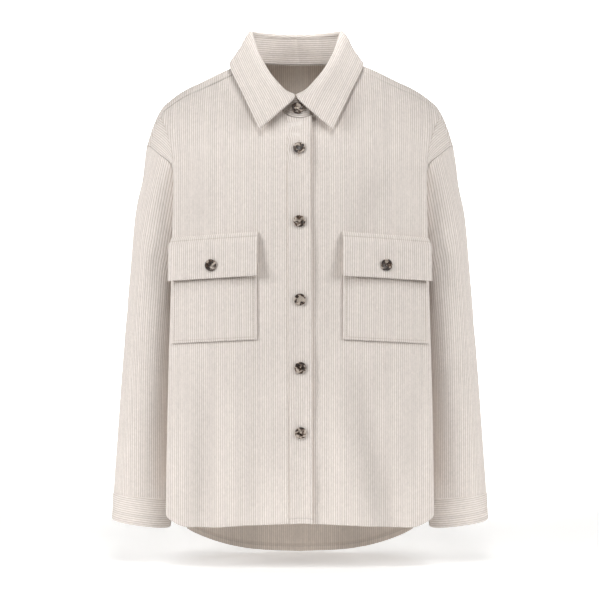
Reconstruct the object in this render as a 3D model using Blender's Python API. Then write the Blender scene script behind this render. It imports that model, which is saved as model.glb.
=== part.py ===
"""Corduroy overshirt, filled out as it is when worn, with nobody in it.

Metres, +Z up. The front faces -Y, and the wearer's right is -X. The origin is the middle of the base of
the neck, where the shirt hangs on its wearer.
"""

import bmesh
import bpy
import numpy as np
from mathutils import Matrix, Vector

# Cloth
WALL = 0.0016
DOUBLE_WALL = 0.0022
SEAM_GAP = 0.0003
LAID_ON = WALL + SEAM_GAP

# Main heights
CHEST_Z = -0.143
UNDERARM_Z = -0.288
HEM_DEPTH_Z = -0.760

# Plan of the body by height, for one half. The front runs from its middle to a fold that stands before the
# sleeve, tucks in behind it and goes back to the side seam. The back runs from its middle to a round corner,
# tucks in behind the sleeve and comes forward.
BODY_COLUMNS = ("z", "front_y", "fold_x", "fold_y", "tuck_x", "side_x", "corner_x", "corner_y", "back_y", "turn")
BODY_SECTIONS = (
    (-0.760, -0.099, 0.2050, -0.069, 0.1880, 0.1870, 0.1830, 0.080, 0.112, 0.013),
    (-0.650, -0.103, 0.2025, -0.071, 0.1850, 0.1840, 0.1810, 0.081, 0.112, 0.012),
    (-0.500, -0.111, 0.1990, -0.074, 0.1790, 0.1780, 0.1790, 0.083, 0.112, 0.010),
    (-0.380, -0.118, 0.1945, -0.077, 0.1710, 0.1690, 0.1770, 0.086, 0.112, 0.008),
    (-0.288, -0.123, 0.1905, -0.079, 0.1635, 0.1605, 0.1760, 0.090, 0.113, 0.006),
    (-0.245, -0.123, 0.1890, -0.079, 0.1640, 0.1605, 0.1765, 0.092, 0.113, 0.005),
    (-0.200, -0.123, 0.1875, -0.079, 0.1705, 0.1605, 0.1770, 0.094, 0.113, 0.005),
    (-0.143, -0.118, 0.1860, -0.075, 0.1870, 0.1605, 0.1790, 0.092, 0.109, 0.005),
)
SIDE_Y = 0.008
FRONT_TUCK = 0.028
BACK_TUCK = 0.030
FACE_POWER = 2.4
BACK_TURN = 0.020
TURN_SHARE = 0.3

# Hems by the place across a panel: 0 is the middle, 1 the fold or corner, 2 the side seam
HEM_COLUMNS = ("across", "front_z", "back_z")
HEM = (
    (0.0, -0.6640, -0.7345),
    (0.4, -0.6680, -0.7305),
    (0.7, -0.6715, -0.7200),
    (0.9, -0.6680, -0.7050),
    (1.0, -0.6560, -0.6950),
    (1.3, -0.6330, -0.6680),
    (2.0, -0.6120, -0.6120),
)

# Armhole seam, from the underarm to the end of the shoulder seam, as x, y and z
ARMHOLE_FRONT = (
    (0.1605, 0.008, -0.288),
    (0.1608, -0.016, -0.278),
    (0.1635, -0.037, -0.250),
    (0.1725, -0.056, -0.190),
    (0.1890, -0.060, -0.143),
    (0.2080, -0.044, -0.1265),
    (0.2245, -0.013, -0.1120),
)
ARMHOLE_BACK = (
    (0.1605, 0.008, -0.288),
    (0.1608, 0.032, -0.278),
    (0.1645, 0.056, -0.250),
    (0.1755, 0.079, -0.190),
    (0.1925, 0.077, -0.143),
    (0.2140, 0.053, -0.1205),
    (0.2315, 0.016, -0.1110),
    (0.2245, -0.013, -0.1120),
)

# Shoulder seam, from the neck to the armhole, and half of the neck seam, front and back
SHOULDER_SEAM = (
    (0.0710, -0.016, 0.0110),
    (0.1058, -0.016, -0.0050),
    (0.1463, -0.018, -0.0250),
    (0.1692, -0.018, -0.0348),
    (0.1920, -0.017, -0.0494),
    (0.2028, -0.016, -0.0585),
    (0.2112, -0.015, -0.0723),
    (0.2183, -0.014, -0.0890),
    (0.2245, -0.013, -0.1120),
)
FOLD_ON_SHOULDER = 0.76
NECK_FRONT = (
    (0.0000, -0.0985, -0.0795),
    (0.0120, -0.0975, -0.0775),
    (0.0320, -0.0905, -0.0640),
    (0.0550, -0.0630, -0.0340),
    (0.0710, -0.016, 0.0110),
)
NECK_BACK = (
    (0.0000, 0.070, 0.0200),
    (0.0400, 0.061, 0.0200),
    (0.0660, 0.028, 0.0170),
    (0.0710, -0.016, 0.0110),
)
NECK_REACH = 0.095

# Direction and length of the cloth as it comes to the neck and the shoulder seam, by the place along them
APPROACH_COLUMNS = ("along", "x", "y", "z", "length")
APPROACH_FRONT = (
    (0.0, 0.00, 0.15, 1.00, 0.020),
    (1.0, 0.00, 0.75, 0.66, 0.040),
    (2.0, 0.30, 0.85, 0.45, 0.018),
)
APPROACH_BACK = (
    (0.0, 0.00, -0.60, 0.80, 0.066),
    (0.5, 0.00, -0.83, 0.56, 0.067),
    (1.0, 0.00, -0.86, -0.51, 0.078),
    (2.0, -0.36, -0.86, -0.32, 0.052),
)
# The cloth leaves the chest in the direction that it has just below it
CLIMB_FROM = 0.020
CLIMB_SHARE = 0.38

# Sleeve and cuff rings below the armhole, as outer_z, inner_z, outer_x, inner_x, front_y and back_y
SLEEVE_RINGS = (
    (-0.200, -0.318, 0.2450, 0.1695, -0.066, 0.086),
    (-0.300, -0.372, 0.2545, 0.1770, -0.066, 0.084),
    (-0.400, -0.442, 0.2632, 0.1830, -0.060, 0.080),
    (-0.520, -0.538, 0.2722, 0.1890, -0.050, 0.068),
    (-0.632, -0.640, 0.2797, 0.1925, -0.041, 0.056),
)
CUFF_RINGS = (
    (-0.6325, -0.6405, 0.2800, 0.1922, -0.0413, 0.0563),
    (-0.650, -0.660, 0.2812, 0.1925, -0.0405, 0.0555),
    (-0.670, -0.682, 0.2826, 0.1935, -0.0395, 0.0545),
)
SEAM_ANGLE = 14.0
RING_POWER = 2.3

# Collar, by the place round the neck: 0 is the front, 1 the shoulder and 2 the back
COLLAR_COLUMNS = ("round", "stand_height", "edge_x", "edge_y", "edge_z")
COLLAR = (
    (0.0, 0.034, 0.0523, -0.1195, -0.0980),
    (0.5, 0.044, 0.0770, -0.0850, -0.0450),
    (1.0, 0.042, 0.1010, -0.0130, 0.0105),
    (1.4, 0.041, 0.0890, 0.0480, 0.0155),
    (1.7, 0.040, 0.0560, 0.0850, 0.0140),
    (2.0, 0.040, 0.0000, 0.0930, 0.0140),
)
NECK_MIDDLE = (0.0, -0.010, 0.0)
STAND_LEAN = 0.10
COLLAR_SHIFT = -0.0055
LEAF_BOW = -0.0008

# The leaf's face where it rolls over, as out and up from the top of the stand
LEAF_ROLL = (
    (-0.0019, 0.0004),
    (-0.0012, 0.0045),
    (0.0018, 0.0068),
    (0.0056, 0.0030),
)

# Placket, on the right front and over the left
PLACKET_WIDTH = 0.034
PLACKET_TOP_X = -0.0014
PLACKET_HEM_X = 0.0019
FRONT_EDGE = 0.0130
PLACKET_BELOW_STAND = 0.0012

# Pockets and flaps: inner and outer edge along the cloth from the middle of the front, top_z and bottom_z
POCKET = (0.0620, 0.1900, -0.2640, -0.4020)
FLAP = (0.0600, 0.1940, -0.2480, -0.3110)
DROOP = 0.055
POCKET_PUFF = 0.0015
FLAP_SEWN = 0.20
FLAP_LIFT = 0.0025

# Buttons
BUTTON_WIDTH = 0.0172
BUTTON_THICKNESS = 0.0032
PLACKET_BUTTONS_Z = (-0.1255, -0.2300, -0.3400, -0.4370, -0.5330)
FLAP_BUTTON_UP = 0.0200
FLAP_BUTTON_ACROSS = {"right": 0.50, "left": 0.47}
# A turned profile as shares of half the width and of the thickness, from the middle of the face to the back
BUTTON_PROFILE = ((0.0, 0.70), (0.55, 0.70), (0.72, 1.0), (0.88, 1.0), (1.0, 0.62), (0.80, 0.0), (0.0, 0.0))

# Largest folds, each a trough that deepens downwards: panel, from_s, from_z, to_s, to_z, width and depth
FOLDS = (
    ("front_right", 0.140, -0.415, 0.152, -0.700, 0.017, 0.0035),
    ("front_right", 0.070, -0.430, 0.078, -0.700, 0.020, 0.0018),
    ("front_left", 0.075, -0.425, 0.128, -0.700, 0.020, 0.0050),
    ("front_left", 0.150, -0.090, 0.090, -0.230, 0.024, 0.0022),
    ("back", 0.060, -0.330, 0.085, -0.760, 0.024, 0.0050),
    ("back", 0.135, -0.250, 0.120, -0.620, 0.022, 0.0040),
)
# A trough is at its full depth at this share of its run, and fades out over this height below its end
FOLD_FULL = 0.72
FOLD_FADE = 0.05

# Colours
CORDUROY = (0.745, 0.672, 0.604)
HORN = (0.060, 0.030, 0.017)

# Mesh: columns from the middle to the neck's end, to the fold and to the side; rows below the underarm, by
# the armhole and over the shoulder
NECK_CELLS, FACE_CELLS, SIDE_CELLS = 6, 6, 4
BODY_CELLS, ARMHOLE_CELLS, SHOULDER_CELLS = 12, 6, 6
SLEEVE_CELLS = 12
STAND_CELLS = 2
LEAF_ROWS = (0.0, 0.05, 0.10, 0.16, 0.30, 0.50, 0.75, 1.0)
PLACKET_CELLS = 3
POCKET_CELLS, POCKET_ROWS, FLAP_ROWS = 8, 5, 5
BUTTON_STEPS = 18
CLOSER_AT_END, CLOSER_AT_START = 0.8, 1.3
PLAN_STEP = 0.0015
LEVEL_STEP = 0.004
PLAN_REACH = 0.36
FACE_POINTS = 60
LINE_POINTS = 400


def smooth(stations, values, at):
    """A smooth curve through values given at rising stations, read at the stations asked for."""
    stations = np.asarray(stations, float)
    values = np.asarray(values, float)
    slopes = np.gradient(values, stations, axis=0)
    at = np.clip(np.asarray(at, float), stations[0], stations[-1])
    k = np.clip(np.searchsorted(stations, at, side="right") - 1, 0, len(stations) - 2)
    step = stations[k + 1] - stations[k]
    t = (at - stations[k]) / step
    if values.ndim > 1:
        step = step[..., None]
        t = t[..., None]
    rise = values[k] * (2 * t**3 - 3 * t**2 + 1) + values[k + 1] * (3 * t**2 - 2 * t**3)
    return rise + step * (slopes[k] * (t**3 - 2 * t**2 + t) + slopes[k + 1] * (t**3 - t**2))


def table(names, rows, name, at):
    """One column of a table, read smoothly by the table's first column."""
    values = np.array(rows, float)
    order = np.argsort(values[:, 0])
    return smooth(values[order, 0], values[order, names.index(name)], at)


def unit(vectors):
    return vectors / np.linalg.norm(vectors, axis=-1)[..., None]


def lengths(points):
    """Distance along a line of points, from its first point."""
    return np.concatenate([[0.0], np.cumsum(np.linalg.norm(np.diff(points, axis=0), axis=1))])


def along(points, share):
    """Points at shares of the length of a smooth line through a few points."""
    points = np.asarray(points, float)
    fine = smooth(lengths(points), points, np.linspace(0, lengths(points)[-1], LINE_POINTS))
    run = lengths(fine)
    wanted = np.asarray(share) * run[-1]
    return np.stack([np.interp(wanted, run, fine[:, k]) for k in range(points.shape[1])], -1)


def at_height(points, z):
    """x and y of a rising line of points at height z."""
    fine = along(points, np.linspace(0, 1, LINE_POINTS))
    return np.array([np.interp(z, fine[:, 2], fine[:, 0]), np.interp(z, fine[:, 2], fine[:, 1])])


def rounded(points, radius):
    """A plan line with its corners rounded: mirrored at its start, straight on at its end."""
    run = lengths(points)
    steps = np.linspace(0, run[-1], int(run[-1] / PLAN_STEP) + 1)
    points = np.stack([np.interp(steps, run, points[:, k]) for k in (0, 1)], 1)
    reach = int(3 * radius / PLAN_STEP)
    before = points[reach:0:-1] * (-1, 1)
    after = 2 * points[-1] - points[-2 : -reach - 2 : -1]
    longer = np.concatenate([before, points, after])
    weights = np.exp(-0.5 * (np.arange(-reach, reach + 1) * PLAN_STEP / radius) ** 2)
    weights /= weights.sum()
    return np.stack([np.convolve(longer[:, k], weights, "valid") for k in (0, 1)], 1)


def plan_line(panel, z):
    """Half a panel's outline from above at one height, with its lengths to the fold and to its end."""
    front = panel == "front"
    size = {name: float(table(BODY_COLUMNS, BODY_SECTIONS, name, z)) for name in BODY_COLUMNS[1:]}
    turn_x, turn_y = (size["fold_x"], size["fold_y"]) if front else (size["corner_x"], size["corner_y"])
    middle_y = size["front_y"] if front else size["back_y"]
    end = np.array([size["side_x"], SIDE_Y])
    if z > UNDERARM_Z:
        end = at_height((ARMHOLE_FRONT if front else ARMHOLE_BACK)[:5], z)
    x = np.linspace(0, turn_x, FACE_POINTS)
    face = np.stack([x, middle_y + (turn_y - middle_y) * (x / turn_x) ** FACE_POWER], 1)
    tuck = np.array([size["tuck_x"], turn_y + FRONT_TUCK if front else turn_y - BACK_TUCK])
    tucked = [tuck] if abs(end[1] - turn_y) > abs(tuck[1] - turn_y) else []
    corners = np.concatenate([face, *[[point] for point in tucked], [end]])
    turn = size["turn"] if front else BACK_TURN
    if z > UNDERARM_Z:
        turn = min(turn, TURN_SHARE * lengths(corners[FACE_POINTS - 1 :])[-1])
    line = rounded(corners, turn)
    share = lengths(face)[-1] / lengths(corners)[-1]
    total = lengths(line)[-1]
    return line, share * total, total


LEVELS = np.arange(HEM_DEPTH_Z, CHEST_Z + LEVEL_STEP, LEVEL_STEP)


def plans(panel):
    """The outlines of a panel at every level, drawn on past their ends, and their two lengths."""
    lines, folds, ends = [], [], []
    count = int(PLAN_REACH / PLAN_STEP)
    for z in LEVELS:
        line, fold, end = plan_line(panel, min(z, CHEST_Z))
        run = lengths(line)
        steps = np.arange(count) * PLAN_STEP
        inside = np.stack([np.interp(steps, run, line[:, k]) for k in (0, 1)], 1)
        onward = unit(line[-1] - line[-2]) * np.clip(steps - end, 0, None)[:, None]
        lines.append(inside + onward)
        folds.append(fold)
        ends.append(end)
    return np.array(lines), np.array(folds), np.array(ends)


PLANS = {"front": plans("front"), "back": plans("back")}


def fold_depth(name, s, z):
    """How far a panel's troughs lie below its surface at places on it."""
    depth = np.zeros_like(s)
    for panel, from_s, from_z, to_s, to_z, width, deep in FOLDS:
        if panel != name:
            continue
        t = np.clip((from_z - z) / (from_z - to_z), 0, 1)
        away = (s - from_s - (to_s - from_s) * t) / width
        fade = np.exp(-((np.clip(to_z - z, 0, None) / FOLD_FADE) ** 2))
        depth += deep * fade * np.exp(-away**2) * np.sin(np.pi / 2 * np.clip(t / FOLD_FULL, 0, 1))
    return depth


def body_point(name, s, z):
    """Places on a panel, s along the cloth from the middle and at height z below the chest."""
    panel = "back" if name == "back" else "front"
    lines = PLANS[panel][0]
    s, z = np.broadcast_arrays(np.asarray(s, float), np.asarray(z, float))
    level = np.clip((z - LEVELS[0]) / LEVEL_STEP, 0, len(LEVELS) - 1.001)
    place = np.abs(s) / PLAN_STEP
    k, i = level.astype(int), place.astype(int)
    a, b = (level - k)[..., None], (place - i)[..., None]
    low = lines[k, i] * (1 - b) + lines[k, i + 1] * b
    high = lines[k + 1, i] * (1 - b) + lines[k + 1, i + 1] * b
    plan = low * (1 - a) + high * a
    inward = 1 if panel == "front" else -1
    y = plan[..., 1] + inward * fold_depth(name, s, z)
    return np.stack([plan[..., 0] * np.where(s < 0, -1, 1), y, z], -1)


def plan_length(name, which, z):
    """Length along the cloth from the middle to the fold (1) or to the panel's end (2)."""
    return np.interp(z, LEVELS, PLANS["back" if name == "back" else "front"][which])


def neck_point(seam, s):
    """Place on half of the neck seam that lies over s on the chest; s below 0 is past the middle."""
    run = lengths(along(seam, np.linspace(0, 1, LINE_POINTS)))[-1]
    share = np.abs(s) / run + (1 - NECK_REACH / run) * (s / NECK_REACH) ** 2
    return along(seam, np.clip(share, 0, 1)) * np.where(s < 0, -1, 1)[:, None] ** np.array([1, 2, 2])


def over_shoulder(name, s, top, place, rows):
    """Cloth from the chest up to the neck and shoulder seams, one curve for each column."""
    chest = body_point(name, s, np.full_like(s, CHEST_Z))
    below = body_point(name, s, np.full_like(s, CHEST_Z - CLIMB_FROM))
    climb = unit(chest - below)
    approach = APPROACH_BACK if name == "back" else APPROACH_FRONT
    came = np.stack([table(APPROACH_COLUMNS, approach, axis, place) for axis in "xyz"], 1)
    reach = table(APPROACH_COLUMNS, approach, "length", place)[:, None]
    first = chest + climb * CLIMB_SHARE * np.linalg.norm(top - chest, axis=1)[:, None]
    second = top - unit(came) * reach
    t = rows[:, None, None]
    return (1 - t) ** 3 * chest + 3 * t * (1 - t) ** 2 * first + 3 * t**2 * (1 - t) * second + t**3 * top


def body_half(name, start):
    """Rows and columns of half a body panel, from its edge at the middle to its seams, hem to shoulder."""
    back = name == "back"
    armhole = ARMHOLE_BACK if back else ARMHOLE_FRONT
    neck = NECK_BACK if back else NECK_FRONT
    across = np.concatenate([
        np.linspace(0, 1, NECK_CELLS + 1),
        1 + np.linspace(0, 1, FACE_CELLS + 1)[1:] ** CLOSER_AT_END,
        2 + np.linspace(0, 1, SIDE_CELLS + 1)[1:] ** CLOSER_AT_START,
    ])

    def cloth_s(z):
        fold, end = plan_length(name, 1, z), plan_length(name, 2, z)
        return np.where(across < 1, start + (NECK_REACH - start) * across,
                        np.where(across < 2, NECK_REACH + (fold - NECK_REACH) * (across - 1),
                                 fold + (end - fold) * (across - 2)))

    low = cloth_s(np.full_like(across, UNDERARM_Z))
    fold, end = plan_length(name, 1, UNDERARM_Z), plan_length(name, 2, UNDERARM_Z)
    hem_place = np.where(low < fold, low / fold, 1 + (low - fold) / (end - fold))
    hem = table(HEM_COLUMNS, HEM, "back_z" if back else "front_z", np.clip(hem_place, 0, 2))
    rise = np.linspace(0, 1, BODY_CELLS + 1)[:, None]
    heights = np.concatenate([
        hem + (UNDERARM_Z - hem) * rise,
        np.linspace(UNDERARM_Z, CHEST_Z, ARMHOLE_CELLS + 1)[1:, None] + 0 * hem,
    ])
    grid = body_point(name, cloth_s(heights), heights)

    chest_s = cloth_s(np.full_like(across, CHEST_Z))
    seam_share = np.where(across < 2, FOLD_ON_SHOULDER * (across - 1),
                          FOLD_ON_SHOULDER + (1 - FOLD_ON_SHOULDER) * (across - 2))
    top = along(SHOULDER_SEAM, np.clip(seam_share, 0, 1))
    on_neck = across <= 1
    top[on_neck] = neck_point(neck, chest_s[on_neck])
    place = np.where(on_neck, np.abs(chest_s) / NECK_REACH, 1 + np.clip(seam_share, 0, 1))
    rows = np.linspace(0, 1, SHOULDER_CELLS + 1)[1:]
    upper = over_shoulder(name, chest_s, top, place, rows)

    seam = along(armhole, np.linspace(0, 1, LINE_POINTS))
    run = lengths(seam)
    from_chest = run[np.argmax(seam[:, 2] >= CHEST_Z)] / run[-1]
    edge = along(armhole, from_chest + (1 - from_chest) * rows)
    pull = np.clip(across - 2, 0, 1) ** CLOSER_AT_START
    upper += pull[None, :, None] * (edge - upper[:, -1])[:, None]
    return np.concatenate([grid, upper])


def normals_of(grid, closed=False):
    """Unit normals of a grid, to the side that its columns, crossed with its rows, point to."""
    if closed:
        across = np.roll(grid, -1, axis=1) - np.roll(grid, 1, axis=1)
    else:
        across = np.gradient(grid, axis=1)
    found = np.cross(across, np.gradient(grid, axis=0))
    return found / np.linalg.norm(found, axis=2)[..., None]


def outward_of_tube(grid):
    """Normals of a grid closed round its columns, pointing away from its middle."""
    out = normals_of(grid, closed=True)
    return out if np.mean(out[-1] * (grid[-1] - grid[-1].mean(0))) > 0 else -out


def drawn_in(grid, edges):
    """A grid whose named edges are drawn in by half a seam's gap, along the cloth."""
    grid = grid.copy()
    inner = {"top": (grid[-1], grid[-2]), "bottom": (grid[0], grid[1]),
             "first": (grid[:, 0], grid[:, 1]), "last": (grid[:, -1], grid[:, -2])}
    for edge in edges:
        line, behind = inner[edge]
        line += unit(behind - line) * SEAM_GAP / 2
    return grid


def material(name, colour, roughness):
    made = bpy.data.materials.new(name)
    made.use_nodes = True
    shader = made.node_tree.nodes["Principled BSDF"]
    shader.inputs["Base Color"].default_value = (*colour, 1.0)
    shader.inputs["Roughness"].default_value = roughness
    shader.inputs["Metallic"].default_value = 0.0
    return made


def shell(name, outer, inner, closed=False):
    """A closed wall between two grids of points, closed on itself round its columns where it is a tube."""
    rows, columns = outer.shape[:2]
    mesh = bpy.data.meshes.new(name)
    work = bmesh.new()
    sides = [[[work.verts.new(point) for point in row] for row in grid] for grid in (outer, inner)]
    spans = range(columns if closed else columns - 1)
    for side in sides:
        for r in range(rows - 1):
            for c in spans:
                d = (c + 1) % columns
                work.faces.new((side[r][c], side[r][d], side[r + 1][d], side[r + 1][c]))
    out, inn = sides
    for r in (0, rows - 1):
        for c in spans:
            d = (c + 1) % columns
            work.faces.new((out[r][c], out[r][d], inn[r][d], inn[r][c]))
    if not closed:
        for c in (0, columns - 1):
            for r in range(rows - 1):
                work.faces.new((out[r][c], out[r + 1][c], inn[r + 1][c], inn[r][c]))
    bmesh.ops.recalc_face_normals(work, faces=work.faces)
    work.to_mesh(mesh)
    work.free()
    mesh.shade_smooth()
    mesh.set_sharp_from_angle(angle=np.radians(50))
    made = bpy.data.objects.new(name, mesh)
    made.data.materials.append(CLOTH)
    bpy.context.collection.objects.link(made)
    return made


def sleeve_rings(loop, rings):
    """Rings below an armhole, one point for each point of the armhole's loop."""
    run = lengths(np.concatenate([loop, loop[:1]]))
    low = ARMHOLE_CELLS + SHOULDER_CELLS
    share = np.where(np.arange(len(loop)) <= low, run[:-1] / run[low],
                     1 + (run[:-1] - run[low]) / (run[-1] - run[low]))
    seam = np.radians(SEAM_ANGLE)
    angle = np.where(share <= 1, seam + (np.pi - seam) * share, np.pi + (np.pi + seam) * (share - 1))
    x_share = np.sign(np.cos(angle)) * np.abs(np.cos(angle)) ** (2 / RING_POWER)
    y_share = np.sign(np.sin(angle)) * np.abs(np.sin(angle)) ** (2 / RING_POWER)
    made = []
    for outer_z, inner_z, outer_x, inner_x, front_y, back_y in rings:
        made.append(np.stack([
            (outer_x + inner_x) / 2 + (outer_x - inner_x) / 2 * x_share,
            (front_y + back_y) / 2 - (back_y - front_y) / 2 * y_share,
            (outer_z + inner_z) / 2 + (outer_z - inner_z) / 2 * x_share,
        ], 1))
    return np.array(made)


def through(rings, shares):
    """A grid through rings, at shares of the way along them."""
    steps = np.concatenate([[0.0], np.cumsum(np.linalg.norm(np.diff(rings, axis=0), axis=2).mean(1))])
    flat = rings.reshape(len(rings), -1)
    return smooth(steps, flat, np.asarray(shares) * steps[-1]).reshape(len(shares), -1, 3)


def mirrored(grid):
    return grid * (-1, 1, 1)


def body_and_sleeve(side, front_start):
    """The grids and wall directions of one half: front, half the back and the sleeve, which share their seams."""
    front_name = "front_" + side
    front = body_half(front_name, front_start)
    back = body_half("back", 0.0)
    front_out = normals_of(front)
    back_out = -normals_of(back)
    low = BODY_CELLS
    loop = np.concatenate([front[:low - 1:-1, -1], back[low + 1 : -1, -1]])
    rings = np.concatenate([loop[None], sleeve_rings(loop, SLEEVE_RINGS)])
    sleeve = through(rings, np.linspace(0, 1, SLEEVE_CELLS + 1))
    sleeve_out = outward_of_tube(sleeve)

    count = len(front) - low
    shared = unit(front_out[low:, -1] + sleeve_out[0, count - 1 :: -1])
    behind = np.concatenate([sleeve_out[0, count - 1 :], sleeve_out[0, :1]])
    shared_back = unit(back_out[low:, -1] + behind)
    under = unit(shared[0] + shared_back[0])
    shared[0], shared_back[0] = under, under
    tip = unit(shared[-1] + shared_back[-1])
    shared[-1], shared_back[-1] = tip, tip
    front_out[low:, -1], back_out[low:, -1] = shared, shared_back
    sleeve_out[0] = np.concatenate([shared[::-1], shared_back[1:-1]])

    shoulder = unit(front_out[-1, NECK_CELLS:-1] + back_out[-1, NECK_CELLS:-1])
    front_out[-1, NECK_CELLS:-1], back_out[-1, NECK_CELLS:-1] = shoulder, shoulder
    seam = unit(front_out[:low, -1] + back_out[:low, -1])
    front_out[:low, -1], back_out[:low, -1] = seam, seam
    return {"front": (front, front_out), "back": (back, back_out), "sleeve": (sleeve, sleeve_out)}


def clear_scene():
    for old in list(bpy.data.objects):
        bpy.data.objects.remove(old, do_unlink=True)


def neck_at(round_neck):
    """Places on half of the neck seam: 0 is the front, 1 the shoulder and 2 the back."""
    front = neck_point(NECK_FRONT, NECK_REACH * np.clip(round_neck, -1, 1))
    back = neck_point(NECK_BACK, NECK_REACH * np.clip(2 - round_neck, 0, 1))
    return np.where((round_neck <= 1)[:, None], front, back)


def stand_rise(base, round_neck, share):
    """Places on the collar stand, at a share of its height above places on the neck seam."""
    height = table(COLLAR_COLUMNS, COLLAR, "stand_height", np.clip(round_neck, 0, 2))
    outward = unit((base - NECK_MIDDLE) * (1, 1, 0))
    climb = unit(np.array([0, 0, 1]) - STAND_LEAN * outward)
    return base + climb * (height * share)[:, None] + (COLLAR_SHIFT * share, 0, 0)


def collar_stand(halves):
    """The stand, from its end on top at the front, round the neck, to its end below."""
    rounds, bases, panel_out = [], [], []
    end = np.array([-PLACKET_WIDTH / 2 - PLACKET_TOP_X, 0.0]) / NECK_REACH
    rounds.append(end)
    bases.append(mirrored(neck_at(end)))
    on_neck = slice(0, NECK_CELLS + 1)
    for side in ("right", "left"):
        facing = mirrored if side == "right" else np.array
        front, front_out = halves[side]["front"]
        back, back_out = halves[side]["back"]
        start = FRONT_EDGE if side == "right" else -FRONT_EDGE
        round_front = np.linspace(start / NECK_REACH, 1, NECK_CELLS + 1)
        round_back = np.linspace(1, 2, NECK_CELLS + 1)[1:]
        path = np.concatenate([front[-1, on_neck], back[-1, NECK_CELLS - 1 :: -1][:NECK_CELLS]])
        outs = np.concatenate([front_out[-1, on_neck], back_out[-1, NECK_CELLS - 1 :: -1][:NECK_CELLS]])
        place = np.concatenate([round_front, round_back])
        if side == "left":
            path, outs, place = path[-2::-1], outs[-2::-1], place[-2::-1]
        rounds.append(place)
        bases.append(facing(path))
        panel_out.append(facing(outs))
    place = np.concatenate(rounds)
    base = np.concatenate(bases)
    grid = np.array([stand_rise(base, place, share) for share in np.linspace(0, 1, STAND_CELLS + 1)])
    out = normals_of(grid)
    if out[0, len(base) // 2, 1] < 0:
        out = -out
    shared = unit(out[0, len(end):] + np.concatenate(panel_out))
    grid += out * (LAID_ON * np.interp(np.arange(len(base)), (len(end), len(end) + 1), (1, 0)))[None, :, None]
    out[0, len(end):] = shared
    return drawn_in(grid, ("bottom",)), out, place


def collar_leaf(stand, stand_out, place):
    """The leaf, from the stand's top over the roll and down to its edge, round from front to front."""
    on_stand = slice(1, -1)
    top, outward, place = stand[-1, on_stand], stand_out[-1, on_stand], np.clip(place[on_stand], 0, 2)
    up = unit(stand[-1] - stand[-2])[on_stand]
    side = np.where(np.arange(len(place)) < np.argmax(place), -1, 1)[:, None] ** np.array([1, 2, 2])
    edge = np.stack([table(COLLAR_COLUMNS, COLLAR, "edge_" + axis, place) for axis in "xyz"], 1)
    edge = edge * side + (COLLAR_SHIFT, 0, 0)
    path = [top + outward * out + up * rise for out, rise in LEAF_ROLL]
    path.append((path[-1] + edge) / 2 + (outward + up) * LEAF_BOW)
    path.append(edge)
    grid = through(np.array(path), LEAF_ROWS)
    out = normals_of(grid)
    if out[-1, np.argmax(place), 1] < 0:
        out = -out
    out[0] = -outward
    return grid, out


def placket_surface(s, finer=1):
    """The fronts' surface under the placket, from hem to neck, at places across it from its middle."""
    hem = table(HEM_COLUMNS, HEM, "front_z", np.abs(s) / plan_length("front", 1, UNDERARM_Z))
    rise = np.linspace(0, 1, BODY_CELLS * finer + 1)[:, None]
    heights = np.concatenate([
        hem + (UNDERARM_Z - hem) * rise,
        np.linspace(UNDERARM_Z, CHEST_Z, ARMHOLE_CELLS * finer + 1)[1:, None] + 0 * hem,
    ])
    lean = (PLACKET_HEM_X - PLACKET_TOP_X) * (CHEST_Z - heights) / (CHEST_Z - hem)
    low = body_point("front", s + PLACKET_TOP_X + lean, heights)
    top_s = s + PLACKET_TOP_X
    top = neck_point(NECK_FRONT, top_s)
    rows = np.linspace(0, 1, SHOULDER_CELLS * finer + 1)[1:]
    return np.concatenate([low, over_shoulder("front", top_s, top, np.abs(top_s) / NECK_REACH, rows)])


def add_placket():
    """The strip that carries the buttonholes, sewn to the right front and lying over the left."""
    s = np.linspace(-PLACKET_WIDTH / 2, PLACKET_WIDTH / 2, PLACKET_CELLS + 1)
    grid = placket_surface(s)
    out = normals_of(grid)
    grid[-1] += unit(grid[-2] - grid[-1]) * PLACKET_BELOW_STAND
    shell("placket", grid + out * LAID_ON, grid + out * SEAM_GAP)


def patch(name, size, across, up):
    """A patch of a front's surface at shares across and up it, with its normals and those shares."""
    inner, outer, top_z, bottom_z = size
    a, b = np.meshgrid(across, up)
    s = inner + (outer - inner) * a
    z = bottom_z + (top_z - bottom_z) * b - DROOP * (s - (inner + outer) / 2)
    grid = body_point(name, s, z)
    return grid, normals_of(grid), a[..., None], b[..., None]


def flap_walls(side, across, up):
    """The back and the face of a pocket flap, sewn down along its top and clear of the pocket below."""
    grid, out, _, b = patch("front_" + side, FLAP, across, up)
    over_pocket = LAID_ON + POCKET_PUFF
    lift = 2 * SEAM_GAP + over_pocket * np.clip((1 - b) / FLAP_SEWN, 0, 1) + FLAP_LIFT * (1 - b) ** 2
    return grid + out * lift, grid + out * (lift + WALL)


def add_pocket(side):
    """A patch pocket with a little fullness, and the flap that is sewn on above it and hangs over it."""
    facing = mirrored if side == "right" else np.array
    across = np.linspace(0, 1, POCKET_CELLS + 1) ** CLOSER_AT_END
    grid, out, a, b = patch("front_" + side, POCKET, across, np.linspace(0, 1, POCKET_ROWS + 1))
    lift = SEAM_GAP + POCKET_PUFF * np.sin(np.pi * a) * np.sin(np.pi * b)
    shell("pocket_" + side, facing(grid + out * (lift + WALL)), facing(grid + out * lift))
    low, face = flap_walls(side, across, np.linspace(0, 1, FLAP_ROWS + 1))
    shell("flap_" + side, facing(face), facing(low))
    share = FLAP_BUTTON_UP / (FLAP[2] - FLAP[3])
    across = FLAP_BUTTON_ACROSS[side]
    face = flap_walls(side, (across - 0.05, across, across + 0.05), (share - 0.1, share, share + 0.1))[1]
    add_button("button_flap_" + side, facing(face[1, 1]), facing(normals_of(face)[1, 1]))


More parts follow.
